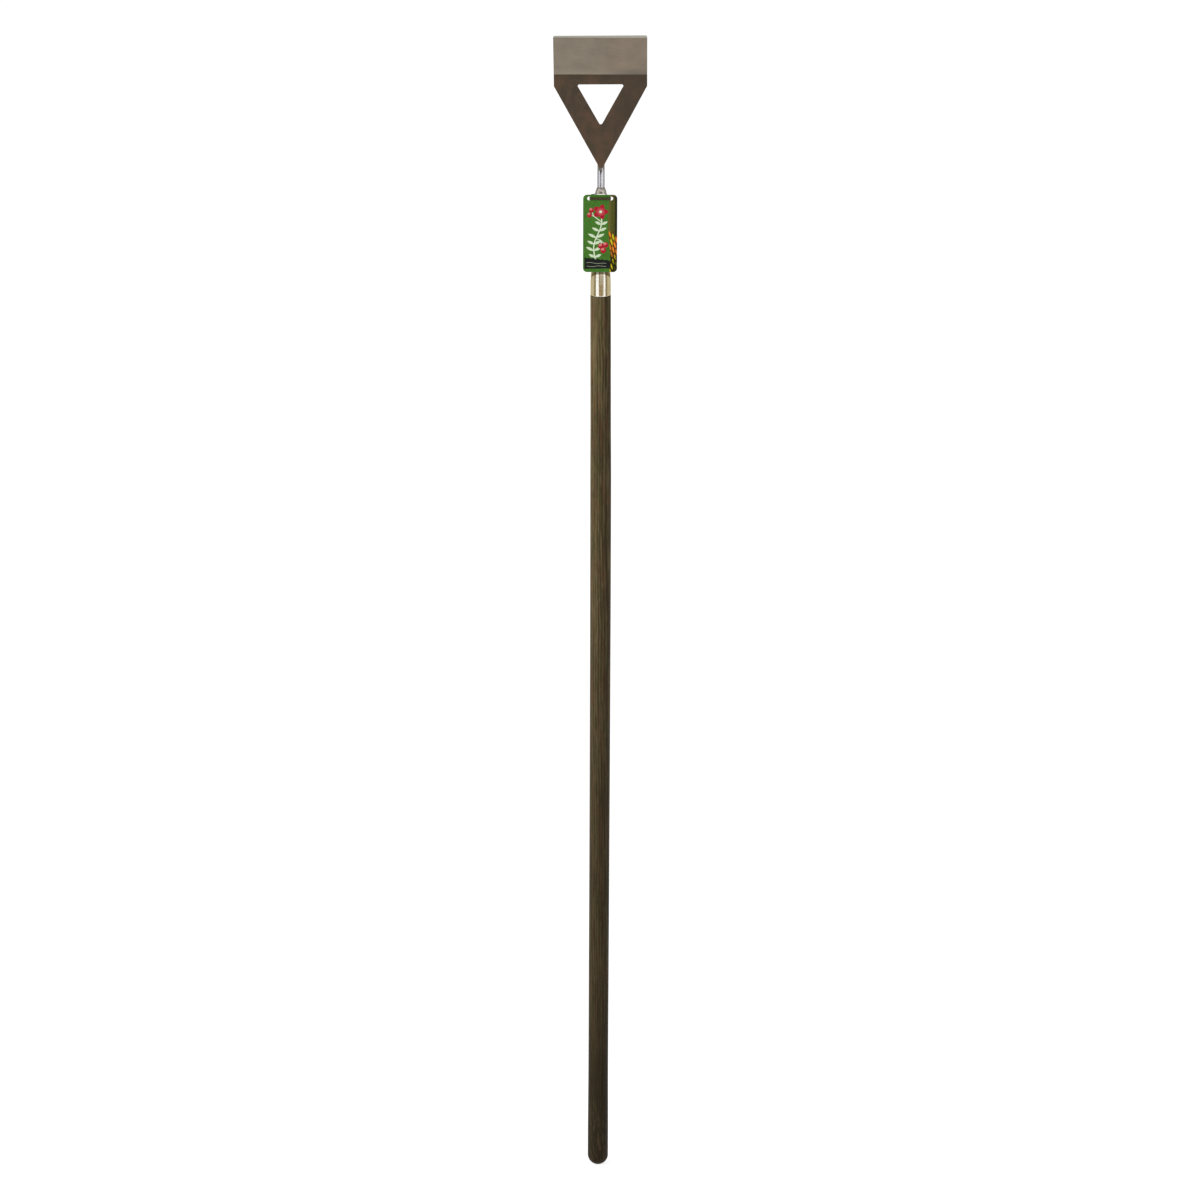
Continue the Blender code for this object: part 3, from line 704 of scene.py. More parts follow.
def rod_path(neck, head):
    """The bar's middle line and its radius: straight up, an arc through the lean, straight, then a dome
    whose radius falls as the cosine while it climbs as the sine."""
    lean, radius = head.frame_lean, neck.bend_radius
    bend_height = NECK_WELD_HIGH.z + neck.neck_length
    turn = np.linspace(0, lean, 13)
    low = np.linspace(ROD_LOW.z, bend_height, 24)[:-1]
    straight = low[:, None] * UP
    bend = np.stack(
        [np.zeros_like(turn), radius * (np.cos(turn) - 1), bend_height + radius * np.sin(turn)], axis=1
    )
    dome = np.linspace(0, pi / 2, 14)
    run = neck.past_bend + neck.bead_end + ROD_RADIUS * np.sin(dome)
    end = bend[-1] + run[:, None] * head_axes(head)[1]
    path = np.concatenate([straight[:1], straight, bend, end])
    radii = ROD_RADIUS * np.concatenate([[0.0], np.ones(len(straight) + len(bend)), np.cos(dome)])
    return path, radii


def rod_surface(neck, head, steps=64):
    """A circle carried along the bar's middle line, square to it."""
    path, radii = rod_path(neck, head)
    lean = np.arctan2(-np.gradient(path[:, 1]), np.gradient(path[:, 2]) + SAME_POINT)
    lean = np.clip(lean, 0, head.frame_lean)
    side = np.broadcast_to(RIGHT, path.shape)
    lift = np.stack([np.zeros_like(lean), np.cos(lean), np.sin(lean)], axis=1)
    return carried(path, side, lift, headings(all_round(steps)) * radii[:, None, None])


def bead_surface(neck, head, steps=20):
    """The bead behind the plate: a circle carried up one side of the bar, round its end and back.

    Its radius is r (1 - d |cos(pi (s / p + k cos 2 a))|) at a length s along it and an angle a round it, so
    each ripple of length p is bowed by a share k of it. Both ends close in a half dome."""
    bow, points_per_ripple = 0.35, 6
    tip_place, along, front = head_axes(head)
    radius = neck.bead_diameter / 2
    depth = head.thickness + SEAT + radius
    aside = np.sqrt((ROD_RADIUS + SEAT + radius) ** 2 - (ROD_RADIUS - radius) ** 2)
    straight = neck.bead_end - neck.bead_start
    total = 2 * straight + pi * aside
    run = np.linspace(0, total, int(total / neck.ripple) * points_per_ripple)
    turn = pi - np.clip((run - straight) / aside, 0, pi)
    x = aside * np.cos(turn)
    up = neck.bead_start + np.minimum(run, straight) - np.maximum(run - straight - pi * aside, 0)
    up = up + aside * np.sin(turn)
    path = tip_place + x[:, None] * RIGHT + up[:, None] * along - depth * front
    side = np.cos(turn)[:, None] * RIGHT + np.sin(turn)[:, None] * along
    lift = np.broadcast_to(front, path.shape)
    around = all_round(steps)
    phase = run[:, None] / neck.ripple + bow * np.cos(2 * around)
    scale = 1 - neck.ripple_depth * np.abs(np.cos(pi * phase))
    to_end = np.minimum(run, total - run) / radius
    scale = scale * np.sqrt(1 - (1 - np.clip(to_end, 0, 1)) ** 2)[:, None]
    points, faces = carried(path, side, lift, headings(around) * radius * scale[..., None])
    return set_askew(head, points), faces


def ring_weld_surface(neck, socket, steps=264, levels=20):
    """The ring of weld at the socket's nose, turned round Z.

    Its outside is a cone from the nose to the bar that stands full by a half sine. Its radius loses
    d |sin(n (a + k t) / 2)|^0.7 at an angle a and a share t of the slope, so k slants the ripples, which
    fade out at both rims."""
    slant = 0.16
    low, high = NECK_WELD_LOW.z, NECK_WELD_HIGH.z
    inner = ROD_RADIUS + SEAT
    top = inner + neck.ring_stands_off
    up = np.linspace(0, 1, levels)
    cone = socket.nose_diameter / 2 + (top - socket.nose_diameter / 2) * up
    radius = np.concatenate([[inner], cone + neck.ring_fullness * np.sin(pi * up), [inner]])
    height = np.concatenate([[low], low + (high - low) * up, [high]])
    around = all_round(steps)
    climb = np.concatenate([[0], up, [1]])
    wave = np.abs(np.sin(neck.ring_ripples * (around + slant * climb[:, None]) / 2)) ** 0.7
    rippled = np.concatenate([[0], np.minimum(1, 5 * up) * np.minimum(1, 4 * (1 - up)), [0]])
    radii = radius[:, None] - neck.ring_ripple_depth * wave * rippled[:, None]
    heights = np.broadcast_to(height[:, None], radii.shape)
    points = np.stack([radii * np.cos(around), radii * np.sin(around), heights], axis=-1)
    return shell(points, close_rows=True, close_columns=True)


def socket_radius(socket, height):
    """Outer radius of the socket below its nose: parallel over the mouth, then a straight taper."""
    taper = SOCKET_HIGH.z - SOCKET_LOW.z - socket.mouth_length - socket.nose_length
    share_up = np.maximum(height - SOCKET_LOW.z - socket.mouth_length, 0) / taper
    return MOUTH_RADIUS + (socket.taper_end / 2 - MOUTH_RADIUS) * share_up


def socket_surface(socket):
    """The socket's wall turned round Z: rounded lip, mouth, taper and nose, then the bore back down.

    The nose draws in from the taper's end by a share t^1.3 of the way, at a share t of its length."""
    low, high = SOCKET_LOW.z, SOCKET_HIGH.z
    inner, lip, bore = MOUTH_RADIUS - socket.wall, socket.lip_round, ROD_RADIUS + SEAT
    taper = low + socket.mouth_length
    land = high - socket.nose_land
    above_land = socket_radius(socket, land) - socket.wall - bore
    mouth_heights = np.linspace(low + lip, taper, 8)[1:]
    taper_heights = np.linspace(taper, high - socket.nose_length, 48)[1:]
    heights = np.concatenate([mouth_heights, taper_heights])
    up = np.linspace(0, 1, 10)[1:]
    nose = socket.taper_end / 2 + (socket.nose_diameter - socket.taper_end) / 2 * up**1.3
    profile = np.concatenate([
        arc((MOUTH_RADIUS - lip, low + lip), lip, -pi / 2, 0, 9),
        np.stack([socket_radius(socket, heights), heights], axis=1),
        np.stack([nose, high - socket.nose_length * (1 - up)], axis=1),
        [(bore, high), (bore, land), (bore + above_land, land - above_land), (inner, taper)],
        arc((inner + lip, low + lip), lip, pi, 1.5 * pi, 9),
    ])
    return turned(profile, steps=128, close_profile=True)


def rivet_surface(socket, steps=64):
    """The rivet, turned about X: a shank between two shallow domes, which are caps of a sphere."""
    height = (RIVET_LOW.z + RIVET_HIGH.z) / 2
    radius, rise = socket.rivet_head_diameter / 2, socket.rivet_head_height
    seat = RIVET_HIGH.x - rise
    sphere = (radius**2 + rise**2) / (2 * rise)
    dome = arc((0.0, RIVET_HIGH.x - sphere), sphere, pi / 2, pi / 2 - np.arcsin(radius / sphere), 12)
    dome[0, 0] = 0.0
    upper = np.concatenate([dome, [(socket.rivet_diameter / 2, seat)]])
    profile = np.concatenate([upper, upper[::-1] * (1, -1)])
    points, faces = turned(profile, steps)
    return points[:, [2, 1, 0]] + (0.0, 0.0, height), faces


def pole_profile(handle, socket):
    """Radius and height up the pole: flat and round butt, waist, belly, shoulder, then the tenon.

    Between two stations the radius leaves one level gently and arrives gently at the next."""
    butt, flat, lip = handle.butt_diameter / 2, handle.flat_diameter / 2, SOCKET_LOW.z
    centre, fewest, spacing = np.sqrt(butt**2 - flat**2), 8, 0.0035
    parts = [[(0.0, 0.0)], arc((0.0, centre), butt, np.arcsin(flat / butt) - pi / 2, 0.0, 24)]
    stations = [
        (handle.swell_height, butt),
        (handle.waist_height, handle.waist_diameter / 2),
        (lip - handle.belly_below_socket, handle.belly_diameter / 2),
        (lip - handle.shoulder_taper, handle.shoulder_diameter / 2),
        (lip - SEAT - handle.shoulder_round, handle.shoulder_diameter / 2),
    ]
    for (low, low_radius), (high, high_radius) in zip(stations, stations[1:]):
        amount = np.linspace(0, 1, max(fewest, int((high - low) / spacing)), endpoint=False)
        radius = eased(low_radius, high_radius, amount)
        parts.append(np.stack([radius, low + (high - low) * amount], axis=1))
    shoulder = handle.shoulder_diameter / 2 - handle.shoulder_round
    parts.append(arc((shoulder, stations[-1][0]), handle.shoulder_round, 0.0, pi / 2, 7))
    inside, chamfer = socket.wall + SEAT, HANDLE_TOP - handle.tenon_chamfer
    heights = np.array([lip - SEAT, lip + socket.mouth_length, chamfer])
    tenon = np.stack([socket_radius(socket, heights) - inside, heights], axis=1)
    end = tenon[-1, 0] - handle.tenon_chamfer
    return np.concatenate(parts + [tenon, [(end, HANDLE_TOP), (0.0, HANDLE_TOP)]])


def pole_surface(handle, socket):
    """The pole's profile turned round Z, a little out of round and bowed as turned wood is.

    The radius changes by d (sin(2 a + 7 z) + sin(3 a - 11 z) + sin(23 z)) / 3 at an angle a and height z.
    The bow moves a point right by b sin(pi (z / l)^1.5), with l the pole's length up to the socket."""
    points, faces = turned(pole_profile(handle, socket), steps=96)
    radius = np.hypot(points[:, 0], points[:, 1])
    around, height = np.arctan2(points[:, 1], points[:, 0]), points[:, 2]
    wander = np.sin(2 * around + 7 * height) + np.sin(3 * around - 11 * height) + np.sin(23 * height)
    fade = np.clip(height / handle.swell_height, 0, 1) * (radius > handle.flat_diameter)
    fade = fade * (height < SOCKET_LOW.z - handle.shoulder_round)
    scale = 1 + handle.out_of_round * wander / 3 * fade / np.maximum(radius, SAME_POINT)
    points[:, :2] *= scale[:, None]
    points[:, 0] += handle.bow * np.sin(pi * np.clip(height / SOCKET_LOW.z, 0, 1) ** 1.5)
    return points, faces


def card_surface(card):
    """The card: two rings round its holes and a block below them, in the frame's X and Z.

    Its Y leaves the flat by c t^2 (0.35 + 0.65 s^2) forward, at a share t below the holes and a share s of
    the half width from the middle."""
    middle_x, half = (CARD_LOW.x + CARD_HIGH.x) / 2, (CARD_HIGH.x - CARD_LOW.x) / 2
    foot, top = CARD_LOW.z, CARD_HIGH.z
    middle_y, thickness = (CARD_LOW.y + CARD_HIGH.y) / 2, CARD_HIGH.y - CARD_LOW.y
    radius, split = card.corner_round, HINGE.z - card.hole_spacing / 2
    # Points along each stretch of the card's edge
    across, side, rounding, upper, lower_side, foot_side = 25, 12, 9, 22, 40, 30
    edge = filleted([
        (half, split, 0, 1, side),
        (half, top, radius, rounding, upper),
        (0, top, 0, 1, 0),
    ], closed=False)
    below = np.linspace(0, half - card.edge_round, across)
    seam = np.linspace(top - card.edge_round, split, side + 2)[1:]
    outer = np.concatenate([
        inset(edge, card.edge_round),
        np.stack([np.zeros_like(seam), seam], axis=1),
        np.stack([below[1:-1], np.full_like(below[1:-1], split)], axis=1),
    ])
    hole_place = np.array((card.hole_spacing / 2, HINGE.z))
    spoke = outer - hole_place
    spoke /= np.linalg.norm(spoke, axis=1, keepdims=True)
    hole = np.hstack([hole_place + spoke * card.hole_diameter / 2, -spoke])
    ring = ring_block(inset(hole, card.edge_round), outer, 12)

    lower = filleted([
        (-half, split, 0, 1, lower_side),
        (-half, foot, radius, rounding, foot_side),
        (half, foot, radius, rounding, lower_side),
        (half, split, 0, 1, 0),
    ], closed=False)
    rows = 1 + lower_side + rounding
    left = lower[:rows]
    grid_x = np.concatenate([-below[:0:-1], below]) / below[-1]
    left_in = inset(left, card.edge_round)
    block = np.stack(np.broadcast_arrays(-grid_x * left_in[:, :1], left_in[:, 1:]), axis=-1)
    foot_x = block[-1, 1:-1, 0]
    foot_edge = np.stack([foot_x, np.full_like(foot_x, foot), foot_x * 0, foot_x * 0 - 1], axis=1)
    mirror = (-1, 1, -1, 1)
    outline = np.concatenate([left, foot_edge, (left * mirror)[::-1], edge[1:], (edge * mirror)[-2:0:-1]])

    def place(flat, depth):
        """Depth 0 lies on the printed front, 1 on the back."""
        x, z = flat[..., 0], flat[..., 1]
        down = np.clip((HINGE.z - z) / (HINGE.z - foot), 0, 1)
        forward = card.curl * down**2 * (0.35 + 0.65 * (x / half) ** 2)
        y = middle_y + thickness * (depth - 0.5) - forward
        return np.stack([middle_x + x, y, z], axis=-1)

    blocks = [(ring, True), (ring * (-1, 1), True), (block, False)]
    rims = [outline, hole, hole * mirror]
    return sheet_shells(blocks, rims, place, card.edge_round, thickness)


def belt(circles, spacing):
    """Points and outward normals of a loop drawn tight round (x, y, radius) circles in turn.

    The tangent between two circles has the normal a l + b sqrt(1 - l^2), with a the way from one middle to
    the next, b square to it and l the difference of the radii over their distance."""
    circles = np.array(circles)
    onward = np.roll(circles[:, :2], -1, axis=0) - circles[:, :2]
    distance = np.linalg.norm(onward, axis=1, keepdims=True)
    ahead = onward / distance
    lean = (circles[:, 2:] - np.roll(circles[:, 2:], -1, axis=0)) / distance
    leaving = ahead * lean + ahead[:, ::-1] * (1, -1) * np.sqrt(1 - lean**2)
    arriving = np.roll(leaving, 1, axis=0)
    places, normals = [], []
    for index, (x, y, radius) in enumerate(circles):
        start = np.arctan2(arriving[index, 1], arriving[index, 0])
        sweep = (np.arctan2(leaving[index, 1], leaving[index, 0]) - start) % (2 * pi)
        turn = start + np.linspace(0, sweep, max(4, int(radius * sweep / spacing)))
        normal = headings(turn)
        places.append((x, y) + radius * normal)
        normals.append(normal)
        count = int(distance[index, 0] / spacing)
        step = np.arange(1, count)[:, None] / count
        following = circles[(index + 1) % len(circles)]
        end = following[:2] + following[2] * leaving[index]
        places.append(places[-1][-1] + (end - places[-1][-1]) * step)
        normals.append(np.broadcast_to(leaving[index], step.shape[:1] + (2,)))
    return np.concatenate(places), np.concatenate(normals)


def strap_profile(tie, count=5):
    """Section of the strap as (outward, up) offsets, with rounded corners."""
    corner = tie.thickness / 4
    rounding = headings(np.linspace(0, pi / 2, count)) * corner
    section = []
    for quarter, way in enumerate([(1, 1), (-1, 1), (-1, -1), (1, -1)]):
        spin = np.array(Matrix.Rotation(quarter * pi / 2, 2))
        middle = np.array(way) * (tie.thickness / 2 - corner, tie.width / 2 - corner)
        section.append(middle + rounding @ spin.T)
    return np.concatenate(section)


def strap_surface(tie, card, socket, height):
    """The strap, carried along a belt round both of the card's holes and the socket.

    Across its middle the strap's outer face falls by d (1 - s / p mod 1) at a length s along it, which cuts
    teeth of pitch p."""
    points_per_tooth, teeth_reach = 5, tie.width * 0.47
    corner_x = card.hole_spacing / 2 - tie.inset - tie.corner_round
    corner_y = CARD_LOW.y - tie.ahead - tie.thickness / 2 + tie.corner_round
    back = socket_radius(socket, height - tie.width / 2) + SEAT + tie.thickness / 2
    path, normal = belt([
        (HINGE.x - corner_x, corner_y, tie.corner_round),
        (HINGE.x + corner_x, corner_y, tie.corner_round),
        (0.0, 0.0, back),
    ], tie.tooth / points_per_tooth)
    run = np.concatenate([[0], np.cumsum(np.linalg.norm(np.diff(path, axis=0), axis=1))])
    level = np.zeros((len(path), 1))
    places, outward = np.hstack([path, level + height]), np.hstack([normal, level])
    section = strap_profile(tie)
    profile = np.broadcast_to(section, (len(path), *section.shape)).copy()
    tooth = tie.tooth_depth * (1 - run / tie.tooth % 1)
    on_teeth = (section[:, 0] > tie.thickness / 8) & (np.abs(section[:, 1]) < teeth_reach)
    profile[:, on_teeth, 0] -= tooth[:, None]
    return carried(places, outward, np.broadcast_to(UP, places.shape), profile, close_path=True)


def lock_surface(tie):
    """The lock round the origin, with its slot along Y: a section of (|cos a|^k, |sin a|^k), which is nearly
    a rectangle, carried over two rounded ends and back through the slot."""
    squareness = 0.28
    box = headings(all_round(48))
    box = np.sign(box) * np.abs(box) ** squareness
    outer = box * (tie.lock_deep / 2, tie.lock_tall / 2)
    slot = box * (tie.thickness * 0.75, tie.width * 0.56)
    half, edge = tie.lock_along / 2, tie.lock_round
    turn = np.linspace(0, pi / 2, 6)
    rise, fall = edge * (1 - np.cos(turn)), edge * (1 - np.sin(turn))
    inward = np.concatenate([fall, rise])
    along = np.concatenate([rise - half, half - fall, [half, -half]])
    rows = np.stack([outer * (1 - depth / (tie.lock_deep / 2)) for depth in inward] + [slot, slot])
    out, up = rows[..., 0], rows[..., 1]
    points = np.stack([out, np.broadcast_to(along[:, None], out.shape), up], axis=-1)
    return shell(points, close_rows=True, close_columns=True)


def tail_surface(tie):
    """The strap's end, straight along Y through the lock and out of it, cut off square."""
    half = tie.lock_along / 2
    ends = np.array([-half, -half, half, half + tie.tail, half + tie.tail])
    full = np.array([0.0, 1.0, 1.0, 1.0, 0.0])[:, None, None]
    path = np.stack([ends * 0, ends, ends * 0], axis=1)
    side, lift = np.broadcast_to(RIGHT, path.shape), np.broadcast_to(UP, path.shape)
    return carried(path, side, lift, strap_profile(tie) * full)


def tie_surfaces(tie, card, socket):
    """The strap, and the lock and the tail turned to their place round the socket."""
    height = (TIE_LOW.z + TIE_HIGH.z) / 2
    out = socket_radius(socket, height - tie.lock_tall / 2) + 2 * SEAT + tie.lock_deep / 2
    spin = np.array(Matrix.Rotation(tie.lock_angle, 3, "Z"))
    fixed = [
        ((points + out * RIGHT) @ spin.T + height * UP, faces)
        for points, faces in (lock_surface(tie), tail_surface(tie))
    ]
    return [strap_surface(tie, card, socket, height)] + fixed


def plate_finish(head):
    """Pressed steel: a ground blade with fine lines across, and the frame's steel painted a mottled darker
    brown, a painted reflection of a dark room.
    """
    finish = Finish("plate_steel")
    x, y, z = finish.place()
    tip, along, front = head_axes(head)
    turn = bend_of(head)[0]
    blade_way = along * cos(turn) + front * sin(turn)
    bend = (tip + along * head.frame_length) * MILLIMETRES
    up_blade = (y - bend[1]) * blade_way[1] + (z - bend[2]) * blade_way[2]
    on_blade = up_blade.rise(-0.35, 0.35)

    lines = finish.noise(finish.vector(x * 0.05, 3.0, up_blade * 2.2), detail=4.0, roughness=0.65)
    cloud = finish.noise((0.055, 0.05, 0.05), detail=3.0)
    light = head.blade_colour
    # Painted shade: the blade turns a little darker and greyer to the right, away from the light
    ground = finish.mix(light, toned(light, 0.99, 0.965, 0.95), x.rise(-14.0, 18.0))
    ground = finish.mix(ground, dimmed(light, 0.87), (lines * 1.1 + cloud * 0.9).rise(0.6, 1.4))
    # Painted shade: the blade darker towards the bend, more so on the right
    low_tone = finish.mix(light, dimmed(light, 0.82), x.rise(-10.0, 50.0))
    ground = finish.mix(ground, low_tone, 1 - up_blade.rise(0.0, 14.0))
    edge = head.blade_length * MILLIMETRES
    ground = finish.mix(ground, head.edge_colour, up_blade.rise(edge - 2.4, edge - 1.7) * 0.75)

    grain = finish.noise((1.6, 0.05, 0.05), detail=4.0, roughness=0.65)
    speck = finish.noise((0.6, 0.3, 0.5), detail=3.0, roughness=0.7)
    mottle = finish.noise((0.06, 0.05, 0.045), detail=3.0, distortion=0.4)
    # Painted reflection: the frame's brown stands for the dark room that its steel reflects
    brown = head.frame_reflection_colour
    dark, rusty = dimmed(brown, 0.84), toned(brown, 1.17, 1.03, 0.99)
    frame_mottle_and_reflection = finish.mix(dark, rusty, (mottle * 0.6 + grain * 0.25 + speck * 0.45).rise(0.47, 0.82))
    frame_mottle_and_reflection = finish.mix(frame_mottle_and_reflection, brown, 0.2)
    # Painted shade: the frame darker to the right, away from the light, and towards the bend
    frame_mottle_and_reflection = finish.mix(frame_mottle_and_reflection, dark, x.rise(4.0, 24.0) * 0.4)
    frame_mottle_and_reflection = finish.mix(frame_mottle_and_reflection, dark, up_blade.rise(-11.0, -1.0) * 0.4)
    near_tip = 1 - (z - tip[2] * MILLIMETRES).rise(4.0, 24.0)
    frame_mottle_and_reflection = finish.mix(frame_mottle_and_reflection, rusty, near_tip * 0.7)

    rough = 0.46 - on_blade * 0.08 + lines * 0.06 + mottle * 0.06
    height = lines * on_blade + grain * (1 - on_blade)
    return finish.surface(
        base_color=finish.mix(frame_mottle_and_reflection, ground, on_blade), metallic=1.0, roughness=rough,
        normal=finish.relief(height, 0.012),
    )


def rod_finish(neck, head):
    """Polished bar with faint marks round it, a straw tint from welding towards its two welds, which by the
    ring weld is also painted shade at the join, and a dark wedge in front where it goes behind the plate's
    tip, a painted reflection of the plate's back."""
    finish = Finish("polished_steel")
    x, y, z = finish.place()
    marks = finish.noise((0.1, 0.1, 3.0), detail=3.0, roughness=0.6)
    patch = finish.noise((0.3, 0.3, 0.25))
    deep = dimmed(neck.rod_colour, 0.86)
    tone = finish.mix(neck.rod_colour, deep, (marks * 0.5 + patch * 0.5).rise(0.4, 0.7))
    low, tip = NECK_WELD_HIGH.z * MILLIMETRES, head_axes(head)[0][2] * MILLIMETRES
    # Straw tint from welding by both welds; by the ring weld it also stands for painted shade at the join
    tint_and_join_shade = (1 - z.rise(low + 0.5, low + 2.4)) * 0.9 + z.rise(tip - 3.0, tip - 0.5) * 0.3
    tone = finish.mix(tone, neck.tint_colour, tint_and_join_shade * (0.7 + patch * 0.4))
    # Painted reflection: a dark wedge in front below the plate's tip, where the bar reflects the plate's back
    wedge = z.rise(tip - 14.0, tip - 2.0) * 2.0 - abs(x + 0.5)
    front = 1 - y.rise(-3.0, -1.0)
    tone = finish.mix(tone, neck.scale_and_shade_colour, wedge.rise(-0.3, 0.5) * front * 0.85)
    return finish.surface(
        base_color=tone, metallic=1.0, roughness=0.11 + marks * 0.1, normal=finish.relief(marks, 0.004)
    )


def weld_finish(neck):
    """Weld metal: bright on the ripples, duller and tinted between them, with random dark scale, and painted
    shade at its top in front where it meets the bar and painted dark reflections low in front.
    """
    finish = Finish("weld_steel")
    x, y, z = finish.place()
    spots = finish.noise((1.5, 1.5, 1.2), detail=3.0, roughness=0.6)
    patch = finish.noise((0.62, 0.62, 0.22))
    tinted = (spots * 0.4 + patch * 0.7).rise(0.48, 0.62) * 0.9
    tone = finish.mix(neck.weld_colour, neck.tint_colour, tinted)
    low, high = NECK_WELD_LOW.z * MILLIMETRES, NECK_WELD_HIGH.z * MILLIMETRES
    # Painted shade at the top in front where the weld meets the bar, and painted dark reflections low in
    # front
    front = 1 - y.rise(-3.0, 0.0)
    join_shade = z.rise(high - 3.0, high - 0.8) * (1 - abs(x - 0.6).rise(1.2, 3.2)) * front
    dark_scale_and_reflection = (1 - z.rise(low + 1.2, low + 3.2)) * (1 - abs(x).rise(1.7, 3.0)) * front
    dark_scale_and_reflection = dark_scale_and_reflection.larger(patch.rise(0.6, 0.7)).larger(join_shade * 0.7)
    tone = finish.mix(tone, neck.scale_and_shade_colour, dark_scale_and_reflection * 0.75)
    return finish.surface(
        base_color=tone, metallic=1.0, roughness=0.3 + spots * 0.14, normal=finish.relief(spots, 0.05)
    )


def socket_finish(socket):
    """Polished steel with turning marks round it, dulled in patches where hands have held it, and a painted
    shadow of the card's foot in front."""
    finish = Finish("socket_steel")
    y, z = finish.place()[1:]
    marks = finish.noise((0.04, 0.04, 5.0), detail=3.0, roughness=0.6)
    patch = finish.noise((0.11, 0.11, 0.06), detail=3.0, roughness=0.55)
    handled = (patch * 0.8 + marks * 0.25).rise(0.5, 0.8) * 0.6
    tone = finish.mix(socket.steel_colour, socket.dull_colour, handled)
    lip = 1 - (z - SOCKET_LOW.z * MILLIMETRES).rise(0.0, 1.4)
    tone = finish.mix(tone, socket.steel_colour, lip)
    # Painted shadow of the card's foot, slanted as a light from above and in front casts it, fading to the
    # sides
    above_foot = z - CARD_LOW.z * MILLIMETRES + (y + MOUTH_RADIUS * MILLIMETRES) * 0.8
    card_shadow = above_foot.rise(-3.4, -1.6) * (1 - above_foot.rise(2.0, 6.0)) * (1 - y.rise(-7.0, -0.5))
    tone = finish.mix(tone, socket.card_shadow_colour, card_shadow * 0.85)
    return finish.surface(
        base_color=tone, metallic=1.0, roughness=0.13 + marks * 0.06 + patch * 0.06,
        normal=finish.relief(marks, 0.004),
    )


def wood_finish(handle):
    """Stained ash: rings of a tree whose middle lies far to one side, so they run up the pole as streaks.

    The ring's number is the distance from that middle, warped by slow noise, over a ring's width. The pole
    is darker at its butt and lighter by steps up to the socket, painted shade under a light from above, and
    flamed with lighter wood near the butt."""
    finish = Finish("stained_ash")
    x, y, z = finish.place()
    warp = finish.noise((0.05, 0.05, 0.005)) - 0.5
    distance = apart(x + 61.0 + z * 0.006, y - 12.0) + warp * 9.0
    ring = (distance / (handle.ring_width * MILLIMETRES)).fraction()
    late = ring.rise(0.25, 0.75) * (1 - ring.rise(0.88, 1.0))
    fibre = finish.noise((1.3, 1.3, 0.04), detail=4.0, roughness=0.65)
    streak = finish.noise((0.32, 0.32, 0.018), detail=3.0, roughness=0.6)
    broad = finish.noise((0.1, 0.1, 0.011), detail=3.0, roughness=0.6, distortion=0.4)
    blotch = finish.noise((0.4, 0.4, 0.05), roughness=0.6, distortion=0.5)
    cast = finish.noise((0.24, 0.24, 0.026), detail=3.0, roughness=0.6)
    slanted = finish.vector(x * 0.3 + z * 0.03, y * 0.3, z * 0.045)
    flame = finish.noise(slanted, detail=3.0, roughness=0.6, distortion=1.2)
    pores = finish.noise((4.2, 4.2, 0.1)).rise(0.56, 0.7) * (1 - late * 0.75)

    figure = late * 0.2 + fibre * 0.3 + streak * 0.75 + broad * 0.6 + blotch * 0.55
    # Painted shade: the grain turns darker on the right side, away from the light
    figure = (figure - x.rise(-5.0, 3.0) * 0.08).rise(0.93, 1.4)
    tone = finish.mix(handle.dark_colour, handle.light_colour, figure)
    tone = finish.mix(tone, handle.russet_colour, cast.rise(0.47, 0.6) * 0.45)
    tone = finish.mix(tone, handle.olive_colour, (1 - cast).rise(0.48, 0.6) * 0.38)
    tone = finish.mix(tone, handle.pore_colour, pores * 0.6)
    # Painted shade: the wood is mixed towards the pore colour by steps lower down, as under a light from
    # above
    height_shade_and_flame = z.rise(90.0, 310.0) * 0.26 + z.rise(420.0, 1060.0) * 0.38 + z.rise(1090.0, 1310.0) * 0.28
    height_shade_and_flame = height_shade_and_flame + 0.1 + flame.rise(0.48, 0.6) * (1 - z.rise(30.0, 150.0)) * 0.3
    tone = finish.mix(handle.pore_colour, tone, height_shade_and_flame)
    rough = 0.56 + fibre * 0.12 - late * 0.05
    height = 0.5 + fibre * 0.4 - pores * 0.6 + late * 0.15
    return finish.surface(
        base_color=tone, roughness=rough, normal=finish.relief(height, 0.05), specular_ior_level=0.1
    )


class Print(Finish):
    """The card's print as inks laid one over another, with u to the right of the card's middle and v up from
    its foot, in millimetres. A shape's cover is a smooth step that reaches soft to both sides of its edge."""

    soft = 0.12
    # The middle of the blossom
    blossom = (0.6, 85.0)

    def __init__(self, card):
        super().__init__("printed_card")
        x, _, z = self.place()
        self.u = x - (CARD_LOW.x + CARD_HIGH.x) / 2 * MILLIMETRES
        self.v = z - CARD_LOW.z * MILLIMETRES
        self.paper = self.noise((2.5, 2.5, 2.5), detail=3.0)
        self.patch = self.noise((0.3, 0.3, 0.3), detail=3.0)
        bright = (self.patch * 0.8 + self.paper * 0.4).rise(0.35, 0.8)
        self.tone = self.mix(dimmed(card.green_colour, 0.86), card.green_colour, bright)

    def ink(self, colour, cover):
        """Lay a colour over the print so far."""
        self.tone = self.mix(self.tone, colour, cover)

    def inside(self, distance):
        """Cover of a shape, from how far a point lies inside its edge."""
        return distance.rise(-self.soft, self.soft)

    def disc(self, middle_u, middle_v, radius):
        """Cover of a disc."""
        return self.inside(radius - apart(self.u - middle_u, self.v - middle_v))

    def stroke(self, from_u, from_v, to_u, to_v, half):
        """Cover of a line with round ends."""
        du, dv = to_u - from_u, to_v - from_v
        u, v = self.u - from_u, self.v - from_v
        ahead = ((u * du + v * dv) / (du * du + dv * dv)).larger(0.0).smaller(1.0)
        return self.inside(half - apart(u - ahead * du, v - ahead * dv))


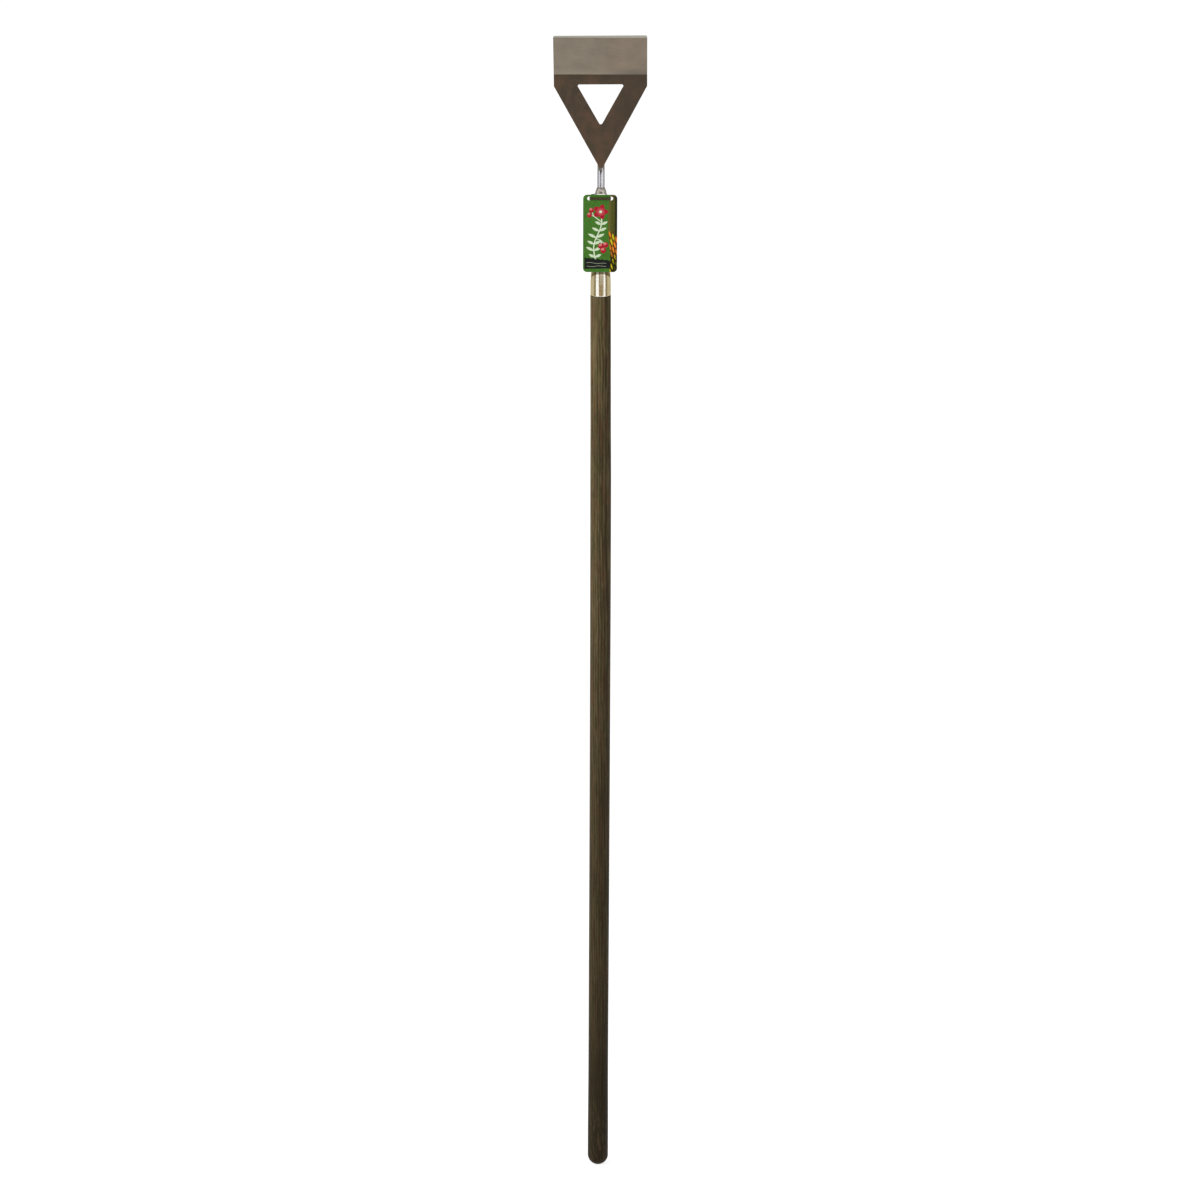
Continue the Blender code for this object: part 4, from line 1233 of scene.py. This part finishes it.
def stem_at(height):
    """How far the print's stem lies to the side at a height h: 3.4 sin(0.1 h + 1) + 0.12 h - 9.7."""
    return (height * 0.1 + 1.0).wave() * 3.4 + height * 0.12 - 9.7


def print_stem(sheet, card):
    """The stem that winds up out of the soil to the blossom, and its pairs of leaves.

    A leaf has the half width w (1 - (a / l)^2) at a length a from its middle."""
    u, v = sheet.u, sheet.v
    top = sheet.blossom[1]
    stem = sheet.inside(0.85 - abs(u - stem_at(v))) * v.rise(14.0, 14.3) * (1 - v.rise(top, top + 0.3))
    pitch, first, pairs, lean = 9.2, 19.0, 6, radians(26)
    number = ((v - first) / pitch).whole()
    joint = number * pitch + first + 1.9
    aside, up = abs(u - stem_at(joint)), v - joint
    along_leaf = aside * cos(lean) + up * sin(lean)
    across_leaf = abs(up * cos(lean) - aside * sin(lean))
    half_length = 4.8 + (number * 0.61).fraction() * 1.8
    taper = (along_leaf - half_length) / half_length
    leaf = sheet.inside(1.9 * (1 - taper * taper) - across_leaf)
    last = first + pairs * pitch
    leaf = leaf * v.rise(first, first + 0.2) * (1 - v.rise(last - 0.2, last))
    sheet.ink(card.pale_colour, stem.larger(leaf * 0.92))


def print_berries(sheet, card):
    """Two stalks that leave the stem, each with its berries."""
    bunches = [
        ((-6.2, 47.5), (1.2, 44.5), [(1.0, 36.6), (7.4, 38.4), (4.4, 30.6)], 3.9),
        ((1.4, 71.0), (-9.0, 79.0), [(-14.8, 80.4), (-12.0, 87.0)], 3.4),
    ]
    for joint, tip, berries, radius in bunches:
        sheet.ink(card.pale_colour, sheet.stroke(*joint, *tip, 0.6))
        for berry in berries:
            sheet.ink(card.pale_colour, sheet.stroke(*tip, *berry, 0.5))
        for u, v in berries:
            sheet.ink(card.red_colour, sheet.disc(u, v, radius))
            shine = sheet.disc(u - 0.8, v + 1.1, radius * 0.58) * (sheet.v - v).rise(-1.6, 2.2)
            sheet.ink(card.pink_colour, shine * 0.8)


def print_blossom(sheet, card):
    """The blossom. Its rim lies 8.7 + 1.9 cos 5 t from its middle at an angle t."""
    across, up = sheet.u - sheet.blossom[0], sheet.v - sheet.blossom[1]
    turn, out = sheet.math("ARCTAN2", up, across), apart(across, up)
    petals = sheet.inside((turn * 5.0 + pi / 2).wave() * 1.9 + 8.7 - out)
    sheet.ink(card.red_colour, petals)
    vein = (turn * 15.0).wave().rise(0.2, 0.9) * (1 - out.rise(3.8, 7.0))
    sheet.ink(card.pink_colour, vein * petals * 0.7)
    sheet.ink(card.pale_colour, sheet.disc(*sheet.blossom, 2.0))


def print_soil(sheet, card):
    """Soil along the foot, with a ridged top and two furrows across it."""
    u, v = sheet.u, sheet.v
    ridge = abs((u * 0.52).wave()) * 0.9 + 17.4 - u * 0.11
    soil = sheet.inside(ridge - v) * sheet.inside(v - 4.9 - u * 0.02) * sheet.inside(u + 21.6)
    sheet.ink(card.black_colour, soil)
    for height, slope in ((8.4, 0.02), (12.4, -0.05)):
        furrow = sheet.inside(0.3 - abs(v - height - u * slope - (u * 0.34 + height).wave() * 0.5))
        furrow = furrow * (u + 19.0).rise(0.0, 1.0) * (1 - u.rise(8.0, 9.0))
        sheet.ink(card.pale_colour, furrow * soil * 0.45)


def print_field(sheet, card):
    """The edge of a ripe field along the right side, with ears in columns that lean.

    The ears of a column stand by a share of their pitch, drop, lower than those of the column to its left.
    They are ripe higher up and grassy at their foot."""
    u, v, patch = sheet.u, sheet.v, sheet.patch
    olive, dusk, night = card.olive_colour, card.dusk_colour, card.night_colour
    wide, tall, drop = 3.7, 10.6, 0.37
    column_at = (u + (v - 40.0) * 0.22) / wide
    column = column_at.whole()
    ear_at = v / tall + column * drop
    row = ear_at.whole()
    ear_u, ear_v = (column_at.fraction() - 0.5) * wide, (ear_at.fraction() - 0.5) * tall
    ear_height = (row + 0.5 - column * drop) * tall
    low_down = 1 - ear_height.rise(16.0, 34.0)
    ear = (1.55 - low_down * 0.35 - ear_v * ear_v * 0.058 - abs(ear_u)).rise(-0.2, 0.2)
    ripeness = (column * 2.1 + row * 3.7).wave()
    paler = (ripeness + (ear_height - 46.0) * 0.06).rise(0.2, 0.7)
    gold = sheet.mix(card.orange_colour, card.yellow_colour, paler)
    gold = sheet.mix(gold, sheet.mix(olive, card.yellow_colour, ripeness.rise(-0.6, 0.9)), low_down)
    gold = sheet.mix(gold, card.brown_colour, (ear_u + abs(ear_v) * 0.1).rise(0.0, 1.5) * 0.8)

    meadow = sheet.mix(olive, dusk, u.rise(12.0, 17.0))
    meadow = sheet.mix(meadow, night, (u + (patch - 0.5) * 2.0).rise(19.0, 21.6) * 0.9)
    meadow = sheet.mix(meadow, night, (1 - (v + (patch - 0.5) * 10.0).rise(24.0, 36.0)) * 0.95)
    thicket = v.rise(16.0, 30.0) * (1 - (v + ripeness * 3.0).rise(48.0, 56.0))
    meadow = sheet.mix(meadow, card.brown_colour, thicket * 0.85)
    standing = 1 - (ear_height + ripeness * 4.0).rise(53.0, 54.0)
    thinned = 1 - low_down * patch.rise(0.35, 0.65) * 0.8
    meadow = sheet.mix(meadow, gold, ear * standing * thinned)
    sheet.ink(meadow, sheet.inside(u - 12.4 - (v * 0.06 + 0.4).wave() * 1.7))


def card_finish(card):
    """The card's print under its thin film, and bare board on its back and its cut edges."""
    sheet = Print(card)
    print_stem(sheet, card)
    print_berries(sheet, card)
    print_blossom(sheet, card)
    print_soil(sheet, card)
    print_field(sheet, card)
    cut = sheet.layer("depth").rise(0.06, 0.16)
    sheet.ink(sheet.mix(card.board_colour, dimmed(card.board_colour, 0.9), sheet.paper), cut)
    return sheet.surface(
        base_color=sheet.tone, roughness=0.34 + sheet.paper * 0.14 + cut * 0.3,
        normal=sheet.relief(sheet.paper, 0.01), specular_ior_level=0.12, coat_weight=0.02,
    )


def nylon_finish(tie):
    """Dark brown nylon, paler where it is rubbed."""
    finish = Finish("dark_nylon")
    mottle = finish.noise((0.9, 0.9, 0.9), detail=3.0, roughness=0.6)
    fine = finish.noise((6.0, 6.0, 6.0))
    tone = finish.mix(tie.nylon_colour, tie.worn_colour, (mottle * 0.8 + fine * 0.3).rise(0.45, 0.75))
    return finish.surface(
        base_color=tone, roughness=0.45 + fine * 0.15, normal=finish.relief(fine, 0.012),
        specular_ior_level=0.3,
    )


def floor_finish(stage):
    """A pale matt floor. Camera, gloss and glass see part of it as white, so only its shadow shows."""
    finish = Finish("pale_floor")
    camera, gloss, glass = (finish.add("ShaderNodeLightPath", {}, {}, ray) for ray in SEEN_BY)
    seen = camera.larger(gloss).larger(glass)
    fleck = finish.noise((0.02, 0.02, 0.02))
    matt = finish.mix(stage.floor_colour, dimmed(stage.floor_colour, 0.985), fleck)
    plain = finish.add("ShaderNodeBsdfDiffuse", {}, {"Color": matt})
    # A grey that the light raises, and an even glow, come to white together where no shadow falls
    shadow = finish.add("ShaderNodeBsdfDiffuse", {}, {"Color": linear((0.68, 0.68, 0.68))})
    glow = finish.add("ShaderNodeEmission", {}, {"Color": WHITE, "Strength": 0.8})
    shown = finish.add("ShaderNodeAddShader", {}, {0: shadow, 1: glow})
    return finish.instead(finish.add("ShaderNodeMixShader", {}, {0: seen, 1: plain, 2: shown}))


def board_finish(name, near_glow, far_glow, turn):
    """A studio board with faint upright streaks that turns from one glow to another on its way back."""
    finish = Finish(name)
    y = finish.place()[1]
    streak = finish.noise((0.02, 0.02, 0.003))
    tone = finish.mix(near_glow, far_glow, y.rise(turn[0] * MILLIMETRES, turn[1] * MILLIMETRES))
    tone = finish.mix(tone, near_glow, streak.rise(0.5, 0.7) * 0.3)
    return finish.instead(finish.add("ShaderNodeEmission", {}, {"Color": tone, "Strength": 1.0}))


def add_stage_plane(name, corners, finish):
    """A flat face of the stage through its corners."""
    mesh = bpy.data.meshes.new(name)
    mesh.from_pydata(corners, [], [range(len(corners))])
    mesh.materials.append(finish)
    plane = bpy.data.objects.new(name, mesh)
    bpy.context.scene.collection.objects.link(plane)
    return plane


def add_boards(stage):
    """Boards that only the gloss of the metal sees, low ones for the socket and high ones for the bar.

    Between them the metal shows the white room. A look that the neck throws back leads down, and so the
    boards lie lower the further away they are. The side boards run level beside the neck, and fall away
    behind it. Edges are given as the angle from straight ahead at which the handle's middle sees them."""
    front, side, fall = stage.front_distance, stage.side_distance, tan(stage.board_fall)
    parting = (CARD_LOW.z + NECK_WELD_HIGH.z) / 2
    beside = parting - side * fall
    corner, furthest = 0.05, 3.8

    def depth_at(way):
        """Depth of a side board's edge that is seen at an angle."""
        return -side / tan(radians(way))

    def add_board(name, corners, finish):
        """A board that only gloss sees."""
        board = add_stage_plane(name, corners, finish)
        board.visible_camera = board.visible_diffuse = board.visible_transmission = False
        board.visible_shadow = board.visible_volume_scatter = False

    turns = {"low": (74, 82), "high": (100, 120)}
    turns = {level: [depth_at(way) for way in ways] for level, ways in turns.items()}
    glows = {
        "front_low": (stage.amber_tone, stage.amber_tone, turns["low"]),
        "front_high": (stage.slate_tone, stage.slate_tone, turns["high"]),
        "low": (stage.umber_tone, stage.tan_tone, turns["low"]),
        "high": (stage.grey_tone, stage.ash_tone, turns["high"]),
    }
    finishes = {name: board_finish(f"{name}_board", *glow) for name, glow in glows.items()}
    line = parting - front * fall
    for level, low, high, left, right in (("low", -0.24, 0.0, -21, 34), ("high", 0.0, 0.14, -42, -8)):
        left, right = front * tan(radians(left)), front * tan(radians(right))
        places = [(left, line + low), (right, line + low), (right, line + high), (left, line + high)]
        add_board(f"front_{level}_board", [(x, -front, z) for x, z in places], finishes[f"front_{level}"])
    for name, x in (("left", -side), ("right", side)):
        for level, low, high, way in (("low", -0.26, 0.0, 55), ("high", 0.0, 0.3, 82)):
            line = [(depth_at(way), beside), (corner, beside), (furthest, beside - (furthest - corner) / 5)]
            places = [(x, y, z + low) for y, z in line] + [(x, y, z + high) for y, z in reversed(line)]
            add_board(f"{name}_{level}_board", places, finishes[level])


def add_lamp(name, place, aim, width, height, power):
    """A soft rectangular lamp that points at a place."""
    lamp = bpy.data.lights.new(name, "AREA")
    lamp.shape = "RECTANGLE"
    lamp.size = width
    lamp.size_y = height
    lamp.energy = power
    holder = bpy.data.objects.new(name, lamp)
    bpy.context.scene.collection.objects.link(holder)
    holder.location = place
    holder.rotation_euler = (Vector(aim) - Vector(place)).to_track_quat("-Z", "Y").to_euler()
    holder.visible_glossy = False


def add_world(ambient):
    """Even light from all round, which camera, gloss and glass see as plain white."""
    world = bpy.data.worlds.new("studio")
    world.use_nodes = True
    nodes, links = world.node_tree.nodes, world.node_tree.links
    path = nodes.new("ShaderNodeLightPath")
    seen = path.outputs[SEEN_BY[0]]
    for ray in SEEN_BY[1:]:
        either = nodes.new("ShaderNodeMath")
        either.operation = "MAXIMUM"
        links.new(seen, either.inputs[0])
        links.new(path.outputs[ray], either.inputs[1])
        seen = either.outputs[0]
    level = nodes.new("ShaderNodeMapRange")
    level.inputs["To Min"].default_value = ambient
    level.inputs["To Max"].default_value = 1.0
    links.new(seen, level.inputs["Value"])
    background = nodes["Background"]
    background.inputs["Color"].default_value = WHITE
    links.new(level.outputs[0], background.inputs["Strength"])
    bpy.context.scene.world = world


def add_camera(stage):
    """The camera looks down at a point on the handle, from straight in front."""
    camera = bpy.data.cameras.new("camera")
    camera.lens = stage.lens
    camera.sensor_width = 36.0
    camera.clip_end = 100.0
    holder = bpy.data.objects.new("camera", camera)
    bpy.context.scene.collection.objects.link(holder)
    back = Vector((0.0, -cos(stage.elevation), sin(stage.elevation)))
    aim = Vector((stage.aim_side, 0.0, stage.aim_height))
    turn = Matrix.Rotation(pi / 2 - stage.elevation, 4, "X") @ Matrix.Rotation(stage.roll, 4, "Z")
    holder.matrix_world = Matrix.Translation(aim + back * stage.distance) @ turn
    bpy.context.scene.camera = holder


class HOE_OT_head(bpy.types.Operator):
    """Build the pressed plate with its blade"""

    bl_idname = "hoe.head"
    bl_label = "Head plate"

    def execute(self, context):
        head = context.scene.hoe_head
        shells, _ = plate_surface(head)
        add_piece("head_plate_fine", shells, plate_finish(head), TOOL, ["head_plate"])
        return {"FINISHED"}


class HOE_OT_neck(bpy.types.Operator):
    """Build the round bar and the welds that hold it"""

    bl_idname = "hoe.neck"
    bl_label = "Neck and welds"

    def execute(self, context):
        head, neck, socket = context.scene.hoe_head, context.scene.hoe_neck, context.scene.hoe_socket
        polished, weld = rod_finish(neck, head), weld_finish(neck)
        rod, bead, ring = rod_surface(neck, head), bead_surface(neck, head), ring_weld_surface(neck, socket)
        add_piece("neck_rod_fine", [rod], polished, TOOL, ["neck_rod"])
        add_piece("plate_weld_fine", [bead], weld, TOOL, ["plate_weld"])
        add_piece("neck_weld_fine", [ring], weld, TOOL, ["neck_weld"])
        return {"FINISHED"}


class HOE_OT_socket(bpy.types.Operator):
    """Build the tapered socket and its rivet"""

    bl_idname = "hoe.socket"
    bl_label = "Socket and rivet"

    def execute(self, context):
        socket = context.scene.hoe_socket
        steel = socket_finish(socket)
        tube, rivet = socket_surface(socket), rivet_surface(socket)
        add_piece("socket_fine", [tube], steel, TOOL, ["socket"])
        add_piece("socket_rivet_fine", [rivet], steel, TOOL, ["socket_rivet"])
        return {"FINISHED"}


class HOE_OT_handle(bpy.types.Operator):
    """Build the turned pole"""

    bl_idname = "hoe.handle"
    bl_label = "Handle"

    def execute(self, context):
        handle, socket = context.scene.hoe_handle, context.scene.hoe_socket
        wood = wood_finish(handle)
        add_piece("handle_fine", [pole_surface(handle, socket)], wood, TOOL, ["handle"])
        return {"FINISHED"}


class HOE_OT_card(bpy.types.Operator):
    """Build the printed card that swings on its tie"""

    bl_idname = "hoe.card"
    bl_label = "Card"

    def execute(self, context):
        card = context.scene.hoe_card
        shells, depth = card_surface(card)
        layers = {"depth": depth}
        add_piece("swing_tag_fine", shells, card_finish(card), CARD, ["swing_tag"], layers)
        return {"FINISHED"}


class HOE_OT_tie(bpy.types.Operator):
    """Build the cable tie with its lock and cut end"""

    bl_idname = "hoe.tie"
    bl_label = "Cable tie"

    def execute(self, context):
        tie, card, socket = context.scene.hoe_tie, context.scene.hoe_card, context.scene.hoe_socket
        nylon = nylon_finish(tie)
        add_piece("tag_tie_fine", tie_surfaces(tie, card, socket), nylon, TOOL, ["tag_tie"])
        return {"FINISHED"}


class HOE_OT_stage(bpy.types.Operator):
    """Set up the floor, the lamps, the studio boards and the camera"""

    bl_idname = "hoe.stage"
    bl_label = "Stage"

    def execute(self, context):
        stage = context.scene.hoe_stage
        reach = 40.0
        corners = [(-reach, -reach, 0.0), (reach, -reach, 0.0), (reach, reach, 0.0), (-reach, reach, 0.0)]
        add_stage_plane("floor", corners, floor_finish(stage))
        add_boards(stage)
        key_place, fill_place = (-2.16, -1.25, 1.7), (1.9, -1.5, 1.7)
        key_aim, fill_aim = (0.0, 0.0, 1.1), (0.0, 0.0, 1.3)
        add_lamp("key_lamp", key_place, key_aim, width=0.8, height=2.0, power=stage.key_power)
        add_lamp("fill_lamp", fill_place, fill_aim, width=0.5, height=1.5, power=stage.fill_power)
        add_world(stage.ambient)
        add_camera(stage)
        context.scene.view_settings.view_transform = "Standard"
        return {"FINISHED"}


class HOE_PT_pieces(bpy.types.Panel):
    """Lists the pieces, with their sizes and colours"""

    bl_idname = "HOE_PT_pieces"
    bl_label = "Dutch hoe"
    bl_space_type = "VIEW_3D"
    bl_region_type = "UI"
    bl_category = "Dutch hoe"

    def draw(self, context):
        for operator, _, group in BUILD_ORDER:
            box = self.layout.box()
            box.operator(operator.bl_idname)
            settings = getattr(context.scene, group)
            for name in settings.bl_rna.properties.keys():
                if name not in ("rna_type", "name"):
                    box.prop(settings, name)


# Each operator with its group of settings and the name of that group on the scene, in building order
BUILD_ORDER = [
    (HOE_OT_head, HOE_PG_head, "hoe_head"),
    (HOE_OT_neck, HOE_PG_neck, "hoe_neck"),
    (HOE_OT_socket, HOE_PG_socket, "hoe_socket"),
    (HOE_OT_handle, HOE_PG_handle, "hoe_handle"),
    (HOE_OT_card, HOE_PG_card, "hoe_card"),
    (HOE_OT_tie, HOE_PG_tie, "hoe_tie"),
    (HOE_OT_stage, HOE_PG_stage, "hoe_stage"),
]


def register():
    """Register the classes, and hang the settings on the scene."""
    for operator, group, name in BUILD_ORDER:
        bpy.utils.register_class(group)
        bpy.utils.register_class(operator)
        setattr(bpy.types.Scene, name, PointerProperty(type=group))
    bpy.utils.register_class(HOE_PT_pieces)


def unregister():
    """Take the settings off the scene, and unregister the classes."""
    bpy.utils.unregister_class(HOE_PT_pieces)
    for operator, group, name in reversed(BUILD_ORDER):
        delattr(bpy.types.Scene, name)
        bpy.utils.unregister_class(operator)
        bpy.utils.unregister_class(group)


def main():
    """Build every piece and the stage."""
    register()
    bpy.ops.hoe.head()
    bpy.ops.hoe.neck()
    bpy.ops.hoe.socket()
    bpy.ops.hoe.handle()
    bpy.ops.hoe.card()
    bpy.ops.hoe.tie()
    bpy.ops.hoe.stage()


if __name__ == "__main__":
    main()
